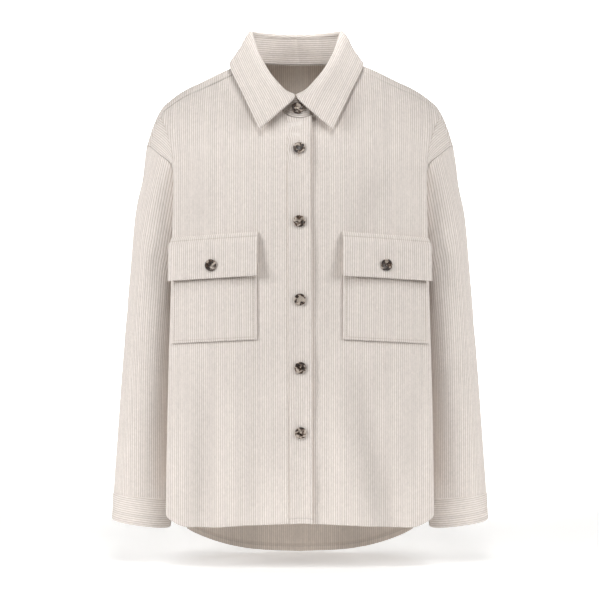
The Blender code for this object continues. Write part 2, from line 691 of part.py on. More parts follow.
def add_button(name, at, normal):
    """A turned button with a rim and a dished middle, its back just off the cloth at a place."""
    half = BUTTON_WIDTH / 2
    profile = [(share * half, height * BUTTON_THICKNESS) for share, height in BUTTON_PROFILE]
    mesh = bpy.data.meshes.new(name)
    mesh.from_pydata([(x, 0, z) for x, z in profile], [(i, i + 1) for i in range(len(profile) - 1)], [])
    made = bpy.data.objects.new(name, mesh)
    bpy.context.collection.objects.link(made)
    screw = made.modifiers.new("turned", "SCREW")
    screw.axis = "Z"
    screw.steps = BUTTON_STEPS
    screw.render_steps = BUTTON_STEPS
    screw.use_merge_vertices = True
    screw.merge_threshold = 0.00005
    screw.use_smooth_shade = True
    made.data.materials.append(BUTTON)
    turn = Vector(normal).to_track_quat("Z", "Y").to_matrix().to_4x4()
    made.matrix_world = Matrix.Translation(Vector(at) + Vector(normal) * SEAM_GAP) @ turn


def add_front_buttons(stand, stand_out):
    """One button on the stand's end and the row down the placket."""
    middle = stand.shape[0] // 2
    column = 1
    add_button("button_stand", stand[middle, column], stand_out[middle, column])
    s = np.linspace(-PLACKET_WIDTH / 2, PLACKET_WIDTH / 2, 3)
    grid = placket_surface(s, finer=5)
    out = normals_of(grid)
    for number, z in enumerate(PLACKET_BUTTONS_Z, 1):
        row = np.argmin(np.abs(grid[:, 1, 2] - z))
        add_button(f"button_placket_{number}", grid[row, 1] + out[row, 1] * LAID_ON, out[row, 1])


def add_body_and_collar():
    """Fronts, back, sleeves and cuffs, and the stand and leaf that close the neck."""
    halves = {"right": body_and_sleeve("right", FRONT_EDGE + SEAM_GAP / 2),
              "left": body_and_sleeve("left", -FRONT_EDGE + SEAM_GAP / 2)}
    stand, stand_out, stand_place = collar_stand(halves)
    for side, pieces in halves.items():
        facing = mirrored if side == "right" else np.array
        grid, out = pieces["front"]
        grid = drawn_in(grid, ("top", "last"))
        shell("front_" + side, facing(grid), facing(grid - WALL * out))
        grid, out = pieces["sleeve"]
        grid = drawn_in(grid, ("bottom",))
        shell("sleeve_" + side, facing(grid), facing(grid - WALL * out), closed=True)
        cuff = sleeve_rings(pieces["sleeve"][0][0], CUFF_RINGS)
        out = outward_of_tube(cuff)
        shell("cuff_" + side, facing(cuff), facing(cuff - DOUBLE_WALL * out), closed=True)
    left, left_out = halves["left"]["back"]
    right, right_out = halves["right"]["back"]
    left = drawn_in(left, ("top", "last"))
    right = drawn_in(right, ("top", "last"))
    outer = np.concatenate([mirrored(right)[:, :0:-1], left], axis=1)
    out = np.concatenate([mirrored(right_out)[:, :0:-1], left_out], axis=1)
    shell("back", outer, outer - WALL * out)
    shell("collar_stand", stand, stand - WALL * stand_out)
    leaf, leaf_out = collar_leaf(stand, stand_out, stand_place)
    shell("collar_leaf", leaf, leaf - DOUBLE_WALL * leaf_out)
    add_front_buttons(stand, stand_out)


clear_scene()
CLOTH = material("corduroy", CORDUROY, 0.95)
BUTTON = material("horn", HORN, 0.35)
add_body_and_collar()
add_placket()
for wearer_side in ("right", "left"):
    add_pocket(wearer_side)
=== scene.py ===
"""Cream corduroy overshirt, filled out as it is when worn, with nobody in it.

Metres, in the CAD frame: +Z up, the front faces -Y, the wearer's right is -X.
"""

import math

import bpy
import numpy as np
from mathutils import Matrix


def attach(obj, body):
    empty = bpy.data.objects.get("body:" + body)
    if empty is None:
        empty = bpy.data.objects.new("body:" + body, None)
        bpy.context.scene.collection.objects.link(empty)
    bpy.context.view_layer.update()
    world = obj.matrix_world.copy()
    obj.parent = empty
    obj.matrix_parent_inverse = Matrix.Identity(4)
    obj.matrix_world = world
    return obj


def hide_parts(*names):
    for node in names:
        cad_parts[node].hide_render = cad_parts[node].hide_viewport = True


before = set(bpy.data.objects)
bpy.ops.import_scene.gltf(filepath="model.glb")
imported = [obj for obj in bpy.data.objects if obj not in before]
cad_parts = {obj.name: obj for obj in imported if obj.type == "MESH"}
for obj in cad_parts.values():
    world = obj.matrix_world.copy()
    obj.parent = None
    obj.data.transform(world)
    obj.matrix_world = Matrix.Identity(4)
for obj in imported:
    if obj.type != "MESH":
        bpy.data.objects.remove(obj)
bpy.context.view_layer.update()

# The back is one piece of cotton corduroy, cut with its wales straight up and down and brought
# forward over the shoulders to a seam in front of them. Its curved hem is longer than the fronts',
# turned up inside and stitched once round.

# Cloth wall, gap at seams, and the size of the wales.
WALL = 0.0016
SEAM_GAP = 0.0003
LAID_ON = WALL + SEAM_GAP
WALE_WIDTH = 0.0032
WALE_DEPTH = 0.00045
GROOVE_DEPTH = 0.0006
# A wale's round top, and the height on it that lies on the cloth's own surface.
WALE_ROUND = 0.55
WALE_MIDDLE = 0.6
QUARTER = WALE_WIDTH / 4
MIRROR = (-1, 1, 1)
# Main heights, and the y of the side seams.
CHEST_Z = -0.143
UNDERARM_Z = -0.288
HEM_DEPTH_Z = -0.760
SIDE_Y = 0.008
# How far from the fold and the corner the sides are tucked in, how flat the panels are, and how they turn.
FRONT_TUCK = 0.028
BACK_TUCK = 0.030
FACE_POWER = 2.4
BACK_TURN = 0.020
TURN_SHARE = 0.3
# Share of the shoulder seam that lies inside the fold, and the width of cloth below half of the neck.
FOLD_ON_SHOULDER = 0.76
NECK_REACH = 0.095
# How the cloth climbs on above the chest, and how it is drawn to the armhole.
CLIMB_FROM = 0.020
CLIMB_SHARE = 0.38
CLOSER_AT_START = 1.3
# Steps at which plans and lines are worked out.
PLAN_STEP = 0.0015
LEVEL_STEP = 0.004
PLAN_REACH = 0.36
FACE_POINTS = 60
LINE_POINTS = 400
ROUNDING_REACH = 3
TOUCHING = 1e-9
FAR = 1.0

# Plan of half the body by height: front's middle and fold, tuck, side seam, back's corner and middle.
BODY_COLUMNS = ("z", "front_y", "fold_x", "fold_y", "tuck_x", "side_x",
                "corner_x", "corner_y", "back_y", "turn")
BODY_SECTIONS = (
    (-0.760, -0.099, 0.2050, -0.069, 0.1880, 0.1870, 0.1830, 0.080, 0.112, 0.013),
    (-0.650, -0.103, 0.2025, -0.071, 0.1850, 0.1840, 0.1810, 0.081, 0.112, 0.012),
    (-0.500, -0.111, 0.1990, -0.074, 0.1790, 0.1780, 0.1790, 0.083, 0.112, 0.010),
    (-0.380, -0.118, 0.1945, -0.077, 0.1710, 0.1690, 0.1770, 0.086, 0.112, 0.008),
    (-0.288, -0.123, 0.1905, -0.079, 0.1635, 0.1605, 0.1760, 0.090, 0.113, 0.006),
    (-0.245, -0.123, 0.1890, -0.079, 0.1640, 0.1605, 0.1765, 0.092, 0.113, 0.005),
    (-0.200, -0.123, 0.1875, -0.079, 0.1705, 0.1605, 0.1770, 0.094, 0.113, 0.005),
    (-0.143, -0.118, 0.1860, -0.075, 0.1870, 0.1605, 0.1790, 0.092, 0.109, 0.005),
)
# Height of the hems: 0 is the middle of a panel, 1 its fold or corner and 2 its side seam.
HEM_COLUMNS = ("across", "front_z", "back_z")
HEM = (
    (0.0, -0.6640, -0.7345),
    (0.4, -0.6680, -0.7305),
    (0.7, -0.6715, -0.7200),
    (0.9, -0.6695, -0.7050),
    (1.0, -0.6590, -0.6950),
    (1.3, -0.6330, -0.6680),
    (2.0, -0.6120, -0.6120),
)
# Seams of the left half, as places along them: armhole from below, shoulder and neck from the middle out.
ARMHOLE_TO_CHEST = 5
ARMHOLE_FRONT = (
    (0.1605, 0.008, -0.288),
    (0.1608, -0.016, -0.278),
    (0.1635, -0.037, -0.250),
    (0.1725, -0.056, -0.190),
    (0.1890, -0.060, -0.143),
    (0.2080, -0.044, -0.1265),
    (0.2245, -0.013, -0.1120),
)
ARMHOLE_BACK = (
    (0.1605, 0.008, -0.288),
    (0.1608, 0.032, -0.278),
    (0.1645, 0.056, -0.250),
    (0.1755, 0.079, -0.190),
    (0.1925, 0.077, -0.143),
    (0.2140, 0.053, -0.1205),
    (0.2315, 0.016, -0.1110),
    (0.2245, -0.013, -0.1120),
)
SHOULDER_SEAM = (
    (0.0710, -0.016, 0.0110),
    (0.1058, -0.016, -0.0050),
    (0.1463, -0.018, -0.0250),
    (0.1692, -0.018, -0.0348),
    (0.1920, -0.017, -0.0494),
    (0.2028, -0.016, -0.0585),
    (0.2112, -0.015, -0.0723),
    (0.2183, -0.014, -0.0890),
    (0.2245, -0.013, -0.1120),
)
NECK_FRONT = (
    (0.0000, -0.0985, -0.0795),
    (0.0120, -0.0975, -0.0775),
    (0.0320, -0.0905, -0.0640),
    (0.0550, -0.0630, -0.0340),
    (0.0710, -0.0160, 0.0110),
)
NECK_BACK = (
    (0.0000, 0.070, 0.0200),
    (0.0400, 0.061, 0.0200),
    (0.0660, 0.028, 0.0170),
    (0.0710, -0.016, 0.0110),
)
# Direction in which the cloth comes up to the neck, 0 to 1, and to the shoulder seam, 1 to 2.
APPROACH_COLUMNS = ("along", "x", "y", "z", "length")
APPROACH = {
    "front": ((0.0, 0.0, 0.15, 1.0, 0.020), (1.0, 0.0, 0.75, 0.66, 0.040), (2.0, 0.30, 0.85, 0.45, 0.018)),
    "back": (
        (0.0, 0.0, -0.60, 0.80, 0.066),
        (0.5, 0.0, -0.83, 0.56, 0.067),
        (1.0, 0.0, -0.86, -0.51, 0.078),
        (2.0, -0.36, -0.86, -0.32, 0.052),
    ),
}

# Troughs that open towards the hem: half panel, where each starts and ends on the cloth, width, depth.
FOLDS = (
    ("front_right", 0.140, -0.415, 0.152, -0.700, 0.017, 0.0058),
    ("front_right", 0.070, -0.430, 0.078, -0.700, 0.020, 0.0026),
    ("front_left", 0.075, -0.425, 0.128, -0.700, 0.020, 0.0078),
    ("front_left", 0.150, -0.090, 0.090, -0.230, 0.024, 0.0030),
    ("back_right", 0.060, -0.330, 0.085, -0.760, 0.024, 0.0050),
    ("back_right", 0.135, -0.250, 0.120, -0.620, 0.022, 0.0040),
    ("back_left", 0.060, -0.330, 0.085, -0.760, 0.024, 0.0050),
    ("back_left", 0.135, -0.250, 0.120, -0.620, 0.022, 0.0040),
)
# Share of its length over which a trough gets its depth, and the length over which it fades past its end.
FOLD_FULL = 0.72
FOLD_FADE = 0.05
# Short creases that fade out at both ends; a depth below 0 is a ridge.
CREASES = (
    ("front_right", 0.168, -0.330, 0.118, -0.450, 0.012, 0.0011),
    ("front_right", 0.160, -0.190, 0.140, -0.245, 0.012, 0.0012),
    ("front_right", 0.106, -0.430, 0.112, -0.690, 0.016, -0.0020),
    ("front_left", 0.046, -0.430, 0.060, -0.690, 0.016, -0.0022),
    ("front_left", 0.176, -0.410, 0.158, -0.660, 0.014, 0.0020),
    ("back_right", 0.030, -0.180, 0.110, -0.300, 0.020, 0.0014),
    ("back_left", 0.050, -0.200, 0.125, -0.330, 0.022, 0.0018),
    ("back_left", 0.010, -0.420, 0.035, -0.740, 0.024, -0.0016),
)
# Depth of a fold at whose bottom the painted shade is full, and how much darker the colour is painted there.
FULL_SHADE_DEPTH = 0.0075
FOLD_PAINTED_SHADE = 0.17
# Most painted light on a ridge, as a share of the full shade, and the height below the chest over which this
# sets in.
RIDGE_PAINTED_LIGHT = 0.4
FOLD_SHADE_FADE = 0.03
# How much painted shade darkens a dent, and how narrow the dark ground between two wales is.
DENT_PAINTED_SHADE = 0.22
# The ground is the weave, darkened further by painted shade in the valley.
GROUND_SHADE_NARROWNESS = 1.6
# Slow waves of slack cloth: turns per metre across and up, height; and how far they are shifted apart.
SLACK = ((7.0, 3.1, 0.00035), (-4.3, 6.7, 0.00030), (11.0, -5.2, 0.00022), (15.5, 9.4, 0.00014))
SLACK_PHASE = 9

# Columns across half a panel.
NECK_STEPS, FACE_STEPS, SIDE_STEPS = 24, 40, 48
FOLD_AT = NECK_STEPS + FACE_STEPS
# Hem: rows above its edge, its stitches, its turned-up part, and how that thickens it.
HEM_ROWS = np.array([0.0, 0.0010, 0.0032, 0.0056, 0.0066, 0.0075, 0.0084, 0.0094, 0.0106, 0.0130, 0.0170])
HEM_STITCH = 0.0075
HEM_TURN = 0.0100
HEM_THICKNESS = 0.0007
HEM_STEP = 0.0008
# Rows from the hem to the underarm and the chest, shares of the way on to the seams, and that way's length.
BODY_ROWS, ARMHOLE_ROWS = 44, 16
SHOULDER_ROWS = np.concatenate([np.linspace(0, 0.96, 20)[1:], [0.975, 0.984, 0.990, 0.995, 1.0]])
UNDERARM_AT = len(HEM_ROWS) + BODY_ROWS - 1
CHEST_AT = UNDERARM_AT + ARMHOLE_ROWS
SHOULDER_RISE = 0.17
# Dents in the pile where cloth is sewn or turned: how flat it lies and how much painted shade it gets, half
# width.
SEAM_DENT = (1.0, 0.0018)
HEM_EDGE_DENT = (0.5, 0.0010)
HEM_STITCH_DENT = (0.7, 0.0012)
STRIP_DENT = (1.0, 0.0020)
# How far lines of stitches end from an edge, and the steps at which they are marked.
STITCH_MARGIN = 0.003
MARK_STEP = 0.0015


def smooth(stations, values, at):
    """A smooth curve through values given at rising stations, read at the stations asked for."""
    stations = np.asarray(stations, float)
    values = np.asarray(values, float)
    slopes = np.gradient(values, stations, axis=0)
    at = np.clip(np.asarray(at, float), stations[0], stations[-1])
    k = np.clip(np.searchsorted(stations, at, side="right") - 1, 0, len(stations) - 2)
    step = stations[k + 1] - stations[k]
    t = (at - stations[k]) / step
    if values.ndim > 1:
        step = step[..., None]
        t = t[..., None]
    rise = values[k] * (2 * t**3 - 3 * t**2 + 1) + values[k + 1] * (3 * t**2 - 2 * t**3)
    return rise + step * (slopes[k] * (t**3 - 2 * t**2 + t) + slopes[k + 1] * (t**3 - t**2))


def table(names, rows, name, at):
    """One column of a table, read smoothly by the table's first column."""
    values = np.array(rows, float)
    order = np.argsort(values[:, 0])
    return smooth(values[order, 0], values[order, names.index(name)], at)


def unit(vectors):
    """Vectors of the same directions, one long."""
    return vectors / np.linalg.norm(vectors, axis=-1)[..., None]


def lengths(points):
    """Distance along a line of points, from its first point."""
    return np.concatenate([[0.0], np.cumsum(np.linalg.norm(np.diff(points, axis=0), axis=1))])


def runs(points, axes=3):
    """Distance along every line of a grid, from its first point, measured over the first axes."""
    steps = np.linalg.norm(np.diff(points[..., :axes], axis=1), axis=2)
    return np.concatenate([np.zeros((len(points), 1)), np.cumsum(steps, axis=1)], axis=1)


def mean_run(grid):
    """Mean distance down a grid's rows, from its first row."""
    return np.concatenate([[0.0], np.cumsum(np.linalg.norm(np.diff(grid, axis=0), axis=2).mean(1))])


def nearest(values, wanted):
    """Number of the value that comes nearest to the one wanted."""
    return int(np.argmin(np.abs(values - wanted)))


def along(points, share):
    """Points at shares of the length of a smooth line through a few points."""
    points = np.asarray(points, float)
    fine = smooth(lengths(points), points, np.linspace(0, lengths(points)[-1], LINE_POINTS))
    run = lengths(fine)
    wanted = np.asarray(share) * run[-1]
    return np.stack([np.interp(wanted, run, fine[:, k]) for k in range(points.shape[1])], -1)


def at_height(points, z):
    """x and y of a rising line of points at height z."""
    fine = along(points, np.linspace(0, 1, LINE_POINTS))
    return np.array([np.interp(z, fine[:, 2], fine[:, 0]), np.interp(z, fine[:, 2], fine[:, 1])])


def rounded(points, radius):
    """A plan line with its corners rounded: mirrored at its start, straight on at its end."""
    run = lengths(points)
    steps = np.linspace(0, run[-1], int(run[-1] / PLAN_STEP) + 1)
    points = np.stack([np.interp(steps, run, points[:, k]) for k in (0, 1)], 1)
    reach = int(ROUNDING_REACH * radius / PLAN_STEP)
    before = points[reach:0:-1] * (-1, 1)
    after = 2 * points[-1] - points[-2 : -reach - 2 : -1]
    longer = np.concatenate([before, points, after])
    weights = np.exp(-0.5 * (np.arange(-reach, reach + 1) * PLAN_STEP / radius) ** 2)
    weights /= weights.sum()
    return np.stack([np.convolve(longer[:, k], weights, "valid") for k in (0, 1)], 1)


def plan_line(panel, z):
    """Half a panel's outline from above at one height, with its lengths to the fold and to its end."""
    front = panel == "front"
    size = {name: float(table(BODY_COLUMNS, BODY_SECTIONS, name, z)) for name in BODY_COLUMNS[1:]}
    turn_x, turn_y = (size["fold_x"], size["fold_y"]) if front else (size["corner_x"], size["corner_y"])
    middle_y = size["front_y"] if front else size["back_y"]
    end = np.array([size["side_x"], SIDE_Y])
    if z > UNDERARM_Z:
        end = at_height((ARMHOLE_FRONT if front else ARMHOLE_BACK)[:ARMHOLE_TO_CHEST], z)
    x = np.linspace(0, turn_x, FACE_POINTS)
    face = np.stack([x, middle_y + (turn_y - middle_y) * (x / turn_x) ** FACE_POWER], 1)
    tuck = np.array([size["tuck_x"], turn_y + FRONT_TUCK if front else turn_y - BACK_TUCK])
    tucked = [tuck] if abs(end[1] - turn_y) > abs(tuck[1] - turn_y) else []
    corners = np.concatenate([face, *[[point] for point in tucked], [end]])
    turn = size["turn"] if front else BACK_TURN
    if z > UNDERARM_Z:
        turn = min(turn, TURN_SHARE * lengths(corners[FACE_POINTS - 1 :])[-1])
    line = rounded(corners, turn)
    share = lengths(face)[-1] / lengths(corners)[-1]
    total = lengths(line)[-1]
    return line, share * total, total


LEVELS = np.arange(HEM_DEPTH_Z, CHEST_Z + LEVEL_STEP, LEVEL_STEP)


def plans(panel):
    """The outlines of a panel at every level, drawn on past their ends, and their two lengths."""
    lines, folds, ends = [], [], []
    count = int(PLAN_REACH / PLAN_STEP)
    for z in LEVELS:
        line, fold, end = plan_line(panel, min(z, CHEST_Z))
        run = lengths(line)
        steps = np.arange(count) * PLAN_STEP
        inside = np.stack([np.interp(steps, run, line[:, k]) for k in (0, 1)], 1)
        onward = unit(line[-1] - line[-2]) * np.clip(steps - end, 0, None)[:, None]
        lines.append(inside + onward)
        folds.append(fold)
        ends.append(end)
    return np.array(lines), np.array(folds), np.array(ends)


PLANS = {"front": plans("front"), "back": plans("back")}


def hollow_depth(name, s, z):
    """How far the troughs, creases and slack of half a panel lie below its plain form."""
    depth = np.zeros_like(s)
    for panel, from_s, from_z, to_s, to_z, width, deep in FOLDS:
        if panel != name:
            continue
        t = np.clip((from_z - z) / (from_z - to_z), 0, 1)
        away = (s - from_s - (to_s - from_s) * t) / width
        fade = np.exp(-((np.clip(to_z - z, 0, None) / FOLD_FADE) ** 2))
        depth += deep * fade * np.exp(-away**2) * np.sin(np.pi / 2 * np.clip(t / FOLD_FULL, 0, 1))
    for panel, from_s, from_z, to_s, to_z, width, deep in CREASES:
        if panel != name:
            continue
        line = np.array([to_s - from_s, to_z - from_z])
        t = ((s - from_s) * line[0] + (z - from_z) * line[1]) / (line @ line)
        away = ((s - from_s) * line[1] - (z - from_z) * line[0]) / np.linalg.norm(line) / width
        depth += deep * np.exp(-away**2) * np.sin(np.pi * np.clip(t, 0, 1)) ** 2
    x = -s if name.endswith("right") else s
    for turns, rise, height in SLACK:
        depth += height * np.sin(2 * np.pi * (turns * x + rise * z) + SLACK_PHASE * turns)
    return depth


def body_point(name, s, z):
    """Places on half a panel, s along the cloth from the middle and at height z below the chest."""
    panel = name.split("_")[0]
    lines = PLANS[panel][0]
    s, z = np.broadcast_arrays(np.asarray(s, float), np.asarray(z, float))
    level = np.clip((z - LEVELS[0]) / LEVEL_STEP, 0, len(LEVELS) - 1.001)
    place = np.abs(s) / PLAN_STEP
    k, i = level.astype(int), place.astype(int)
    a, b = (level - k)[..., None], (place - i)[..., None]
    low = lines[k, i] * (1 - b) + lines[k, i + 1] * b
    high = lines[k + 1, i] * (1 - b) + lines[k + 1, i + 1] * b
    plan = low * (1 - a) + high * a
    inward = 1 if panel == "front" else -1
    y = plan[..., 1] + inward * hollow_depth(name, s, z)
    return np.stack([plan[..., 0] * np.where(s < 0, -1, 1), y, z], -1)


def plan_length(name, which, z):
    """Length along the cloth from the middle to the fold (1) or to the panel's end (2)."""
    return np.interp(z, LEVELS, PLANS[name.split("_")[0]][which])


def neck_point(seam, s):
    """Place on half of the neck seam that lies over s on the chest; s below 0 is past the middle."""
    run = lengths(along(seam, np.linspace(0, 1, LINE_POINTS)))[-1]
    share = np.abs(s) / run + (1 - NECK_REACH / run) * (s / NECK_REACH) ** 2
    return along(seam, np.clip(share, 0, 1)) * np.where((s < 0)[:, None], MIRROR, 1)


def over_shoulder(name, s, top, place, rows):
    """Cloth from the chest up to the neck and shoulder seams, one curve for each column."""
    chest = body_point(name, s, np.full_like(s, CHEST_Z))
    below = body_point(name, s, np.full_like(s, CHEST_Z - CLIMB_FROM))
    climb = unit(chest - below)
    approach = APPROACH[name.split("_")[0]]
    came = np.stack([table(APPROACH_COLUMNS, approach, axis, place) for axis in "xyz"], 1)
    reach = table(APPROACH_COLUMNS, approach, "length", place)[:, None]
    first = chest + climb * CLIMB_SHARE * np.linalg.norm(top - chest, axis=1)[:, None]
    second = top - unit(came) * reach
    t = rows[:, None, None]
    return (1 - t) ** 3 * chest + 3 * t * (1 - t) ** 2 * first + 3 * t**2 * (1 - t) * second + t**3 * top


def normals_of(grid, closed=False):
    """Unit normals of a grid, to the side that its columns, crossed with its rows, point to."""
    if closed:
        across = np.roll(grid, -1, axis=1) - np.roll(grid, 1, axis=1)
    else:
        across = np.gradient(grid, axis=1)
    found = np.cross(across, np.gradient(grid, axis=0))
    return found / np.linalg.norm(found, axis=2)[..., None]


def near(distance, reach):
    """1 on a line, falling to 0 at a reach from it."""
    return np.clip(1 - np.abs(distance) / reach, 0, 1)


def dent(distance, size):
    """A dent along a line, deepest on it and gone at half its width."""
    flat, half_width = size
    return flat * near(distance, half_width)


def fold_shade_of(depth):
    """Painted shade for a fold of some depth, 1 at the most; below 0 it is painted light on a ridge."""
    return np.clip(depth / FULL_SHADE_DEPTH, -RIDGE_PAINTED_LIGHT, 1)


def cloth_sheet(points, out, cloth, grain, press=0.0, lift=0.0, nap=0.0):
    """A sheet: places, outward directions, distances across and down the cloth, and what is done to it."""
    made = {"points": points, "out": out}
    for key, value in (("cloth", cloth), ("grain", grain), ("press", press), ("lift", lift), ("nap", nap)):
        made[key] = value + np.zeros(points.shape[:2])
    return made


def heights_up(hem, body_rows, armhole_rows):
    """Heights of the rows from a hem up to the chest."""
    turned = hem + HEM_ROWS[:, None]
    rise = np.linspace(0, 1, body_rows + 1)[1:, None]
    return np.concatenate([
        turned,
        turned[-1] + (UNDERARM_Z - turned[-1]) * rise,
        np.linspace(UNDERARM_Z, CHEST_Z, armhole_rows + 1)[1:, None] + 0 * hem,
    ])


def body_half(name, start):
    """Half a body panel as lines across the cloth, hem to shoulder, with each place's distance across it."""
    panel = name.split("_")[0]
    across = np.concatenate([
        np.linspace(0, 1, NECK_STEPS + 1),
        1 + np.linspace(0, 1, FACE_STEPS + 1)[1:],
        2 + np.linspace(0, 1, SIDE_STEPS + 1)[1:],
    ])

    def cloth_s(z):
        fold, end = plan_length(name, 1, z), plan_length(name, 2, z)
        return np.where(across < 1, start + (NECK_REACH - start) * across,
                        np.where(across < 2, NECK_REACH + (fold - NECK_REACH) * (across - 1),
                                 fold + (end - fold) * (across - 2)))

    low = cloth_s(np.full_like(across, UNDERARM_Z))
    fold, end = plan_length(name, 1, UNDERARM_Z), plan_length(name, 2, UNDERARM_Z)
    hem_place = np.where(low < fold, low / fold, 1 + (low - fold) / (end - fold))
    hem = table(HEM_COLUMNS, HEM, panel + "_z", np.clip(hem_place, 0, 2))
    heights = heights_up(hem, BODY_ROWS, ARMHOLE_ROWS)
    cloth = cloth_s(heights)
    grid = body_point(name, cloth, heights)
    # Painted shade in the troughs and creases, painted light on the ridges, set in below the chest.
    nap = fold_shade_of(hollow_depth(name, cloth, heights)) * np.clip((CHEST_Z - heights) / FOLD_SHADE_FADE, 0, 1)

    chest_s = cloth[-1]
    seam_share = np.where(across < 2, FOLD_ON_SHOULDER * (across - 1),
                          FOLD_ON_SHOULDER + (1 - FOLD_ON_SHOULDER) * (across - 2))
    top = along(SHOULDER_SEAM, np.clip(seam_share, 0, 1))
    on_neck = across <= 1
    top[on_neck] = neck_point(NECK_BACK if panel == "back" else NECK_FRONT, chest_s[on_neck])
    place = np.where(on_neck, np.abs(chest_s) / NECK_REACH, 1 + np.clip(seam_share, 0, 1))
    upper = over_shoulder(name, chest_s, top, place, SHOULDER_ROWS)

    armhole = ARMHOLE_BACK if panel == "back" else ARMHOLE_FRONT
    seam = along(armhole, np.linspace(0, 1, LINE_POINTS))
    run = lengths(seam)
    from_chest = run[np.argmax(seam[:, 2] >= CHEST_Z)] / run[-1]
    edge = along(armhole, from_chest + (1 - from_chest) * SHOULDER_ROWS)
    pull = np.clip(across - 2, 0, 1) ** CLOSER_AT_START
    upper += pull[None, :, None] * (edge - upper[:, -1])[:, None]

    plan = runs(upper, 2)
    reach = chest_s[NECK_STEPS] + upper[:, NECK_STEPS, 0] - grid[-1, NECK_STEPS, 0]
    upper_cloth = reach[:, None] + plan - plan[:, [NECK_STEPS]]
    below_neck = slice(0, NECK_STEPS)
    upper_cloth[:, below_neck] = reach[:, None] * upper[:, below_neck, 0] / upper[:, [NECK_STEPS], 0]

    points = np.concatenate([grid, upper])
    cloth = np.concatenate([cloth, upper_cloth])
    out = normals_of(points) * (-1 if panel == "back" else 1)
    above = np.concatenate([heights - hem, np.full(upper.shape[:2], FAR)])
    below_seam = (1 - SHOULDER_ROWS)[:, None] * SHOULDER_RISE + 0 * plan
    to_top = np.concatenate([np.full(heights.shape, FAR), below_seam])
    press = dent(above, HEM_EDGE_DENT) + dent(to_top, SEAM_DENT) * on_neck
    if panel == "back":
        press += dent(above - HEM_STITCH, HEM_STITCH_DENT)
    lift = HEM_THICKNESS * np.clip((HEM_TURN - above) / HEM_STEP, 0, 1)
    nap = np.concatenate([nap, np.zeros(upper.shape[:2])])
    return cloth_sheet(points, out, cloth, mean_run(points)[:, None], press, lift, nap)


def mirrored(sheet):
    """A sheet on the other side of the body."""
    return {**sheet, "points": sheet["points"] * MIRROR, "out": sheet["out"] * MIRROR}


def columns(sheet, wanted):
    """Some columns of a sheet."""
    return {key: values[:, wanted] for key, values in sheet.items()}


def lines(sheet, wanted):
    """Some lines of a sheet."""
    return {key: values[wanted] for key, values in sheet.items()}


def read_sheet(sheet, line, place):
    """Values on one line of a sheet at distances across the cloth."""
    cloth = sheet["cloth"][line]
    found = {}
    for key in ("points", "out"):
        found[key] = np.stack([np.interp(place, cloth, sheet[key][line, :, k]) for k in range(3)], 1)
    for key in ("press", "lift", "grain", "nap"):
        found[key] = np.interp(place, cloth, sheet[key][line])
    return found


def wale_side(sheet, first, last, step):
    """Points where a sheet's lines cross every step-th quarter of a wale, with the number of each."""
    marks = np.arange(first, last + step, step) * QUARTER
    start, end = sheet["cloth"][:, :1], sheet["cloth"][:, -1:]
    low = (marks[None] <= start).sum(1) - 1
    high = (marks[None] < end).sum(1)
    base = np.concatenate([[0], np.cumsum(high - low + 1)[:-1]])
    counted = np.clip(np.arange(len(marks))[None], low[:, None], high[:, None])
    number = base[:, None] + counted - low[:, None]
    places, parts = [], []
    for line in range(len(start)):
        place = np.clip(marks[low[line] : high[line] + 1], start[line], end[line])
        places.append(place)
        parts.append(read_sheet(sheet, line, place))
    values = {key: np.concatenate([part[key] for part in parts]) for key in parts[0]}
    values["across"] = np.concatenate(places)
    return number, places, values


def grid_faces(number):
    """Faces between the points of neighbouring lines; where a line ends early they close to triangles."""
    a, b, c, d = (number[:-1, :-1].ravel(), number[:-1, 1:].ravel(),
                  number[1:, 1:].ravel(), number[1:, :-1].ravel())
    whole = (a != b) & (c != d)
    low_closed = (a == b) & (c != d)
    high_closed = (a != b) & (c == d)
    faces = np.stack([a, b, c, d], 1)[whole].tolist()
    faces += np.stack([a, c, d], 1)[low_closed].tolist()
    return faces + np.stack([a, b, c], 1)[high_closed].tolist()


def end_faces(outer, outer_place, inner, inner_place):
    """Faces that close a shell along its first line, one for each stretch of its inner side."""
    faces = []
    for k in range(len(inner) - 1):
        on = (outer_place >= inner_place[k] - TOUCHING) & (outer_place <= inner_place[k + 1] + TOUCHING)
        faces.append(outer[on][::-1].tolist() + [inner[k], inner[k + 1]])
    return faces


def shell(sheet, wall, lined):
    """Points, faces and cloth values of a closed shell with wales on its face, and on its back if lined."""
    first = int(np.floor(sheet["cloth"].min() / QUARTER)) - 1
    first -= first % 4
    last = int(np.ceil(sheet["cloth"].max() / QUARTER)) + 1
    outer, outer_places, face = wale_side(sheet, first, last, 1)
    inner, inner_places, back = wale_side(sheet, first, last, 1 if lined else 4)
    inner = inner + len(face["across"])
    faces = grid_faces(outer)
    inner_faces = [each[::-1] for each in grid_faces(inner)]
    o, i = outer[:, 0], inner[:, 0]
    rims = np.stack([o[:-1], o[1:], i[1:], i[:-1]], 1).tolist()
    o, i = outer[:, -1], inner[:, -1]
    rims += np.stack([o[1:], o[:-1], i[:-1], i[1:]], 1).tolist()
    for line, turned in ((0, False), (-1, True)):
        closing = end_faces(np.unique(outer[line]), outer_places[line],
                            np.unique(inner[line]), inner_places[line])
        rims += [each[::-1] for each in closing] if turned else closing
    back["points"] = back["points"] - back["out"] * (wall + back["lift"])[:, None]
    back["out"] = -back["out"] if lined else back["out"] * 0
    values = {key: np.concatenate([face[key], back[key]]) for key in face}
    corner = values["points"][faces[0]]
    if np.cross(corner[1] - corner[0], corner[2] - corner[0]) @ values["out"][faces[0][0]] < 0:
        groups = (faces, inner_faces, rims)
        faces, inner_faces, rims = ([each[::-1] for each in group] for group in groups)
    wrong_side = [False] * len(faces) + [not lined] * len(inner_faces) + [False] * len(rims)
    return values, faces + inner_faces + rims, wrong_side


